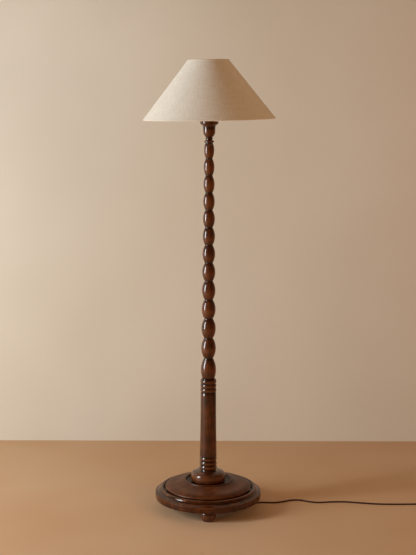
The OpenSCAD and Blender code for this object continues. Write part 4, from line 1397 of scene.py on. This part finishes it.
@dataclass
class MainsCord:
    """Round flex from the clamp under the plinth to the plug, its spare length coiled."""

    diameter: float = 5.5
    clamp_end: float = 89.5
    exit_z: float = 31.0
    floor_z: float = 2.8
    coil_x: float = 812.0
    coil_r: float = 43.5
    pitch: float = 6.1
    turns: int = 7
    coil_z: float = 3.7
    line_y: float = 23.0
    plug_x: float = 856.0
    plug_z: float = 7.0
    pin_spacing: float = 18.6
    coil_steps: int = 24
    neck_l: float = 20.0
    body_l: float = 18.0
    relief_l: float = 30.0

    @property
    def free_run(self) -> list[Point]:
        """Route along the floor, as the CAD source gives it."""
        z = self.floor_z
        return [
            (self.clamp_end + 0.1, 0, self.exit_z),
            (self.clamp_end + self.diameter, 0, self.exit_z),
            (103, 0.8, 29.6), (114, 3.5, 25), (126, 8, 17.5), (140, 15, 9.5), (154, 23, 4.5),
            (168, 31, z), (184, 36.5, z), (202, 37.5, z), (222, 35, z), (240, 35.5, z),
            (258, 41, z), (276, 50, z), (296, 60, z), (316, 65, z), (334, 62, z), (352, 53, z),
            (372, 43, z), (394, 38, z), (416, 40, z), (440, 44, z), (470, 46, z), (500, 44.5, z),
            (530, 38, z), (560, 31.5, z), (590, 25.5, z), (620, 22, z), (655, 21, z),
            (690, 21.5, z), (725, 22.5, z), (760, 23, 3.2),
        ]  # fmt: skip

    def coil_point(self, s: float) -> Point:
        """Return the flex's middle after s turns of the coil."""
        half = self.turns / 2
        radius = self.coil_r - self.pitch * (half - abs(s - half))
        rise = self.pitch * min(1.0, max(0.0, (s - half + 0.25) * 2))
        angle = math.tau * s
        return (
            self.coil_x + radius * math.sin(angle),
            self.line_y - self.coil_r + radius * math.cos(angle),
            self.coil_z + rise,
        )

    def route(self) -> list[Vector]:
        """Return the whole centreline in metres, from the strain relief to the plug."""
        steps = range(1, self.turns * self.coil_steps + 1)
        lead = [(self.coil_x + x, z) for x, z in ((11, 9.4), (22, 8.5), (33, 7.5))]
        lead += [(self.plug_x - self.diameter, self.plug_z), (self.plug_x, self.plug_z)]
        keys = [*self.free_run, (self.coil_x - 8, self.line_y, self.coil_z)]
        keys += [self.coil_point(i / self.coil_steps) for i in steps]
        keys += [(x, self.line_y, z) for x, z in lead]
        points = [Vector(key) for key in keys]
        line: list[Vector] = []
        for i in range(len(points) - 1):
            a, b = points[max(i - 1, 0)], points[i]
            c, d = points[i + 1], points[min(i + 2, len(points) - 1)]
            for t in (0.0, 0.25, 0.5, 0.75):
                bend = (2 * a - 5 * b + 4 * c - d) * t * t + (3 * b - a - 3 * c + d) * t**3
                line.append((2 * b + (c - a) * t + bend) * 0.5 * MM)
        line.append(points[-1] * MM)
        return line

    def flex(self, with_pieces: Sequence[bpy.types.Object]) -> None:
        """Args:
            with_pieces: The plug, its pins and the coil's tie. Not used.
        """
        line = self.route()
        curve = bpy.data.curves.new("mains_flex", "CURVE")
        curve.dimensions = "3D"
        curve.bevel_depth = self.diameter / 2 * MM
        curve.bevel_resolution = 3
        curve.use_fill_caps = True
        spline = curve.splines.new("POLY")
        spline.points.add(len(line) - 1)
        spline.points.foreach_set("co", [c for point in line for c in (*point, 1.0)])
        spline.use_smooth = True
        flex = add_object("mains_flex", curve)
        hand_in(flex, "cord", FLEX, others=["cord_coil"])

    def along_x(self, name: str, outline: Outline, steps: int, place: Point) -> bpy.types.Object:
        """Turn an outline about an axis along X that starts at a place in millimetres."""
        return move_to(turn(name, outline, steps, spin=Spin.ALONG_X), place)

    def plug(self) -> bpy.types.Object:
        """Mould the plug: ribbed neck, chamfered body and finger grips."""
        width, height = 35.0, 13.6
        outline: Outline = [(3.3, 0.1), (3.7, 0.9)]
        for i in range(5):
            x, r = 2.6 + i * 3.2, mix(3.8, 5.4, i / 4)
            steps = ((0.0, 0.0), (0.25, 0.4), (0.25, 1.6), (-0.3, 1.9), (-0.3, 2.7))
            outline += [(r + out, x + on) for out, on in steps]
        outline += [(5.7, self.neck_l - 1.0), (6.3, self.neck_l + 1.0)]
        neck = self.along_x("plug_neck", outline, 40, (self.plug_x, self.line_y, self.plug_z))
        back_x = self.plug_x + self.neck_l
        centre = (back_x + self.body_l / 2, self.line_y, self.plug_z)
        body = block(centre, (self.body_l, width, height))
        back = back_x * MM
        bpy.ops.object.mode_set(mode="EDIT")
        bpy.ops.mesh.select_all(action="DESELECT")
        bpy.ops.mesh.select_mode(type="EDGE")
        bpy.ops.object.mode_set(mode="OBJECT")
        for edge in body.data.edges:
            a, b = (body.data.vertices[i].co for i in edge.vertices)
            upright = abs(a.z - b.z) > 1e-6
            edge.select = upright and abs(a.x - back) < 1e-6 and abs(b.x - back) < 1e-6
        bpy.ops.object.mode_set(mode="EDIT")
        bpy.ops.mesh.bevel(offset=6 * MM, segments=5, affect="EDGES")
        bpy.ops.object.mode_set(mode="OBJECT")
        soften(body, 1.4, 4, 30.0)
        for side in (-1, 1):
            for i in range(3):
                y = self.line_y + side * (width / 2 + 0.3)
                cut(body, block((back_x + 7.2 + i * 3.4, y, self.plug_z), (1.2, 1.8, 8.6)))
        smooth(body)
        piece = joined("plug_moulded", [body, neck])
        return hand_in(piece, "plug_body", SLEEVE_PVC)

    def pins(self) -> bpy.types.Object:
        """Make the two round pins, with the insulating sleeves next to the plug's face."""
        face_x = self.plug_x + self.neck_l + self.body_l
        outline = [
            (2.0, 0.05), (2.0, 9.6), (1.92, 9.8), (2.0, 10.0),
            (2.0, 17.6), (1.8, 18.3), (1.2, 18.85), (0.5, 19.0),
        ]  # fmt: skip
        pins = []
        for side in (-1, 1):
            y = self.line_y + side * self.pin_spacing / 2
            pins.append(self.along_x(f"pin_{side}", outline, 32, (face_x, y, self.plug_z)))
        piece = joined("plug_pins_turned", pins)
        piece.data.materials.append(NICKEL_PINS.material())
        piece.data.materials.append(BAKELITE.material())
        for part in piece.data.polygons:
            part.material_index = int(part.center.x < (face_x + 9.8) * MM)
        return hand_in(piece, "plug_pins", NICKEL_PINS)

    def relief(self) -> None:
        """Mould the tapered, ribbed strain relief."""
        outline: Outline = [(5.0, 0.0), (5.2, 0.3), (5.2, 4.7), (4.9, 5.2), (4.2, 6.5)]
        for i in range(6):
            x, r = 8.5 + i * 3.4, mix(4.15, 3.68, i / 5)
            steps = ((0.0, -0.6), (0.0, 0.0), (-0.55, 0.35), (-0.55, 1.35), (-0.06, 1.7))
            outline += [(r + out, x + on) for out, on in steps]
        outline += [(3.6, self.relief_l - 0.7), (3.2, self.relief_l)]
        start = (self.clamp_end - self.relief_l, 0.0, self.exit_z)
        sleeve = self.along_x("strain_relief_moulded", outline, 40, start)
        hand_in(sleeve, "strain_relief", SLEEVE_PVC)

    def clamp(self) -> None:
        """Finish the clamp under the plinth, its screws and the cord inside the lamp."""
        dress(BAKELITE, 0.6, "cord_clamp_base", "cord_clamp_bar", segments=3)
        head_z = self.exit_z - self.diameter / 2 - 2.4 - 1.6
        heads = [((52.0, -11.0, head_z), 30.0), ((52.0, 11.0, head_z), 105.0)]
        slot_screws("cord_clamp_screws", ZINC_STEEL, heads, (8, 0.8, 1.6))
        dress(FLEX, 0.0, "inner_cord")

    def build(self) -> None:
        """Make the cord and everything on it."""
        tie = hand_in(refined("coil_tie", 0.3, 3), "coil_tie", TIE_TAPE)
        self.flex([self.plug(), self.pins(), tie])
        self.relief()
        self.clamp()


@dataclass
class Studio:
    """Camera at the photograph's angle, soft light from the upper left, plain pale floor."""

    camera_x: float = -0.0026
    camera_y: float = -4.2
    camera_z: float = 1.478
    pitch_down: float = 8.83
    roll: float = 0.17
    focal_px: float = 1228.0
    frame_h: int = 555
    wall_y: float = 0.82

    def camera(self) -> None:
        """Set the camera, whose focal length is fitted to the photograph's frame."""
        data = bpy.data.cameras.new("photo_view")
        data.sensor_fit = "VERTICAL"
        data.sensor_height = 36.0
        data.lens = self.focal_px / self.frame_h * data.sensor_height
        camera = add_object("photo_view", data)
        camera.location = (self.camera_x, self.camera_y, self.camera_z)
        tilt = Matrix.Rotation(math.radians(90.0 - self.pitch_down), 3, "X")
        camera.rotation_euler = (tilt @ Matrix.Rotation(math.radians(self.roll), 3, "Z")).to_euler()
        bpy.context.scene.camera = camera

    def sheet(
        self, name: str, size: Point, middle: Point, tilt: float, colour: str
    ) -> bpy.types.Object:
        """Return a plain sheet of the studio, in metres, tilted about X by tilt degrees."""
        deselect()
        bpy.ops.mesh.primitive_plane_add(size=1.0)
        sheet = bpy.context.active_object
        sheet.name = name
        sheet.scale = size
        sheet.rotation_euler = (math.radians(tilt), 0.0, 0.0)
        sheet.location = middle
        apply_place(sheet)
        sheet.data.materials.append(Stage(f"plain_{name}", colour=colour).material())
        return sheet

    def backdrop(self) -> None:
        """Lay the floor and stand the wall behind it."""
        middle = (0.0, self.wall_y - 4.5, 0.0)
        floor = self.sheet("floor", (12.0, 9.0, 1.0), middle, 0.0, "#c99f75")
        wall = self.sheet("wall", (12.0, 5.0, 1.0), (0.0, self.wall_y, 2.5), 90.0, "#cdc4b2")

    def lamp(
        self,
        name: str,
        place: Point,
        aim: Point,
        size: tuple[float, float],
        power: float,
        colour: str,
        shine: bool = True,
    ) -> None:
        """Hang one soft lamp.

        Args:
            name: Name of the lamp.
            place: Where it hangs, in metres.
            aim: Point that it faces.
            size: Width and height of its face, in metres.
            power: Power in watts.
            colour: Colour of its light.
            shine: Whether its face is mirrored in polish and metal.
        """
        data = bpy.data.lights.new(name, "AREA")
        data.shape = "RECTANGLE"
        data.size, data.size_y = size
        data.energy = power
        data.color = linear(colour)[:3]
        lamp = add_object(name, data)
        lamp.location = place
        lamp.rotation_euler = (Vector(aim) - Vector(place)).to_track_quat("-Z", "Y").to_euler()
        lamp.visible_camera = False
        lamp.visible_glossy = shine

    def light(self) -> None:
        """Set the window-like key, the warm light that the room throws back, and the dim room."""
        self.lamp("window", (-2.85, -1.1, 1.2), (0.0, 0.0, 1.05), (0.8, 2.0), 108.0, "#f6fbff")
        place, aim, size = (2.6, -2.4, 1.75), (0.0, 0.0, 1.1), (2.6, 2.2)
        self.lamp("room_bounce", place, aim, size, 44.0, "#ffcfa4", shine=False)
        world = bpy.data.worlds.new("room")
        bpy.context.scene.world = world
        world.use_nodes = True
        world.node_tree.nodes.clear()
        nodes = Nodes(world.node_tree)
        room = nodes.add("Background", {"Color": "#b38a62", "Strength": 0.22})
        nodes.add("OutputWorld", {"Surface": room.outputs[0]})

    def build(self) -> None:
        """Set up the whole studio."""
        for set_up in (self.camera, self.backdrop, self.light):
            set_up()
        bpy.context.scene.view_settings.view_transform = "Standard"


def main() -> None:
    """Build the studio and every sub-assembly."""
    logging.basicConfig(level=logging.INFO, format="%(message)s")
    for part in (Studio(), MainsCord(), Base(), Column(), Lampholder(), Bulb(), Shade()):
        part.build()
        log.info("%s is done", type(part).__name__)
    deselect()


if __name__ == "__main__":
    main()
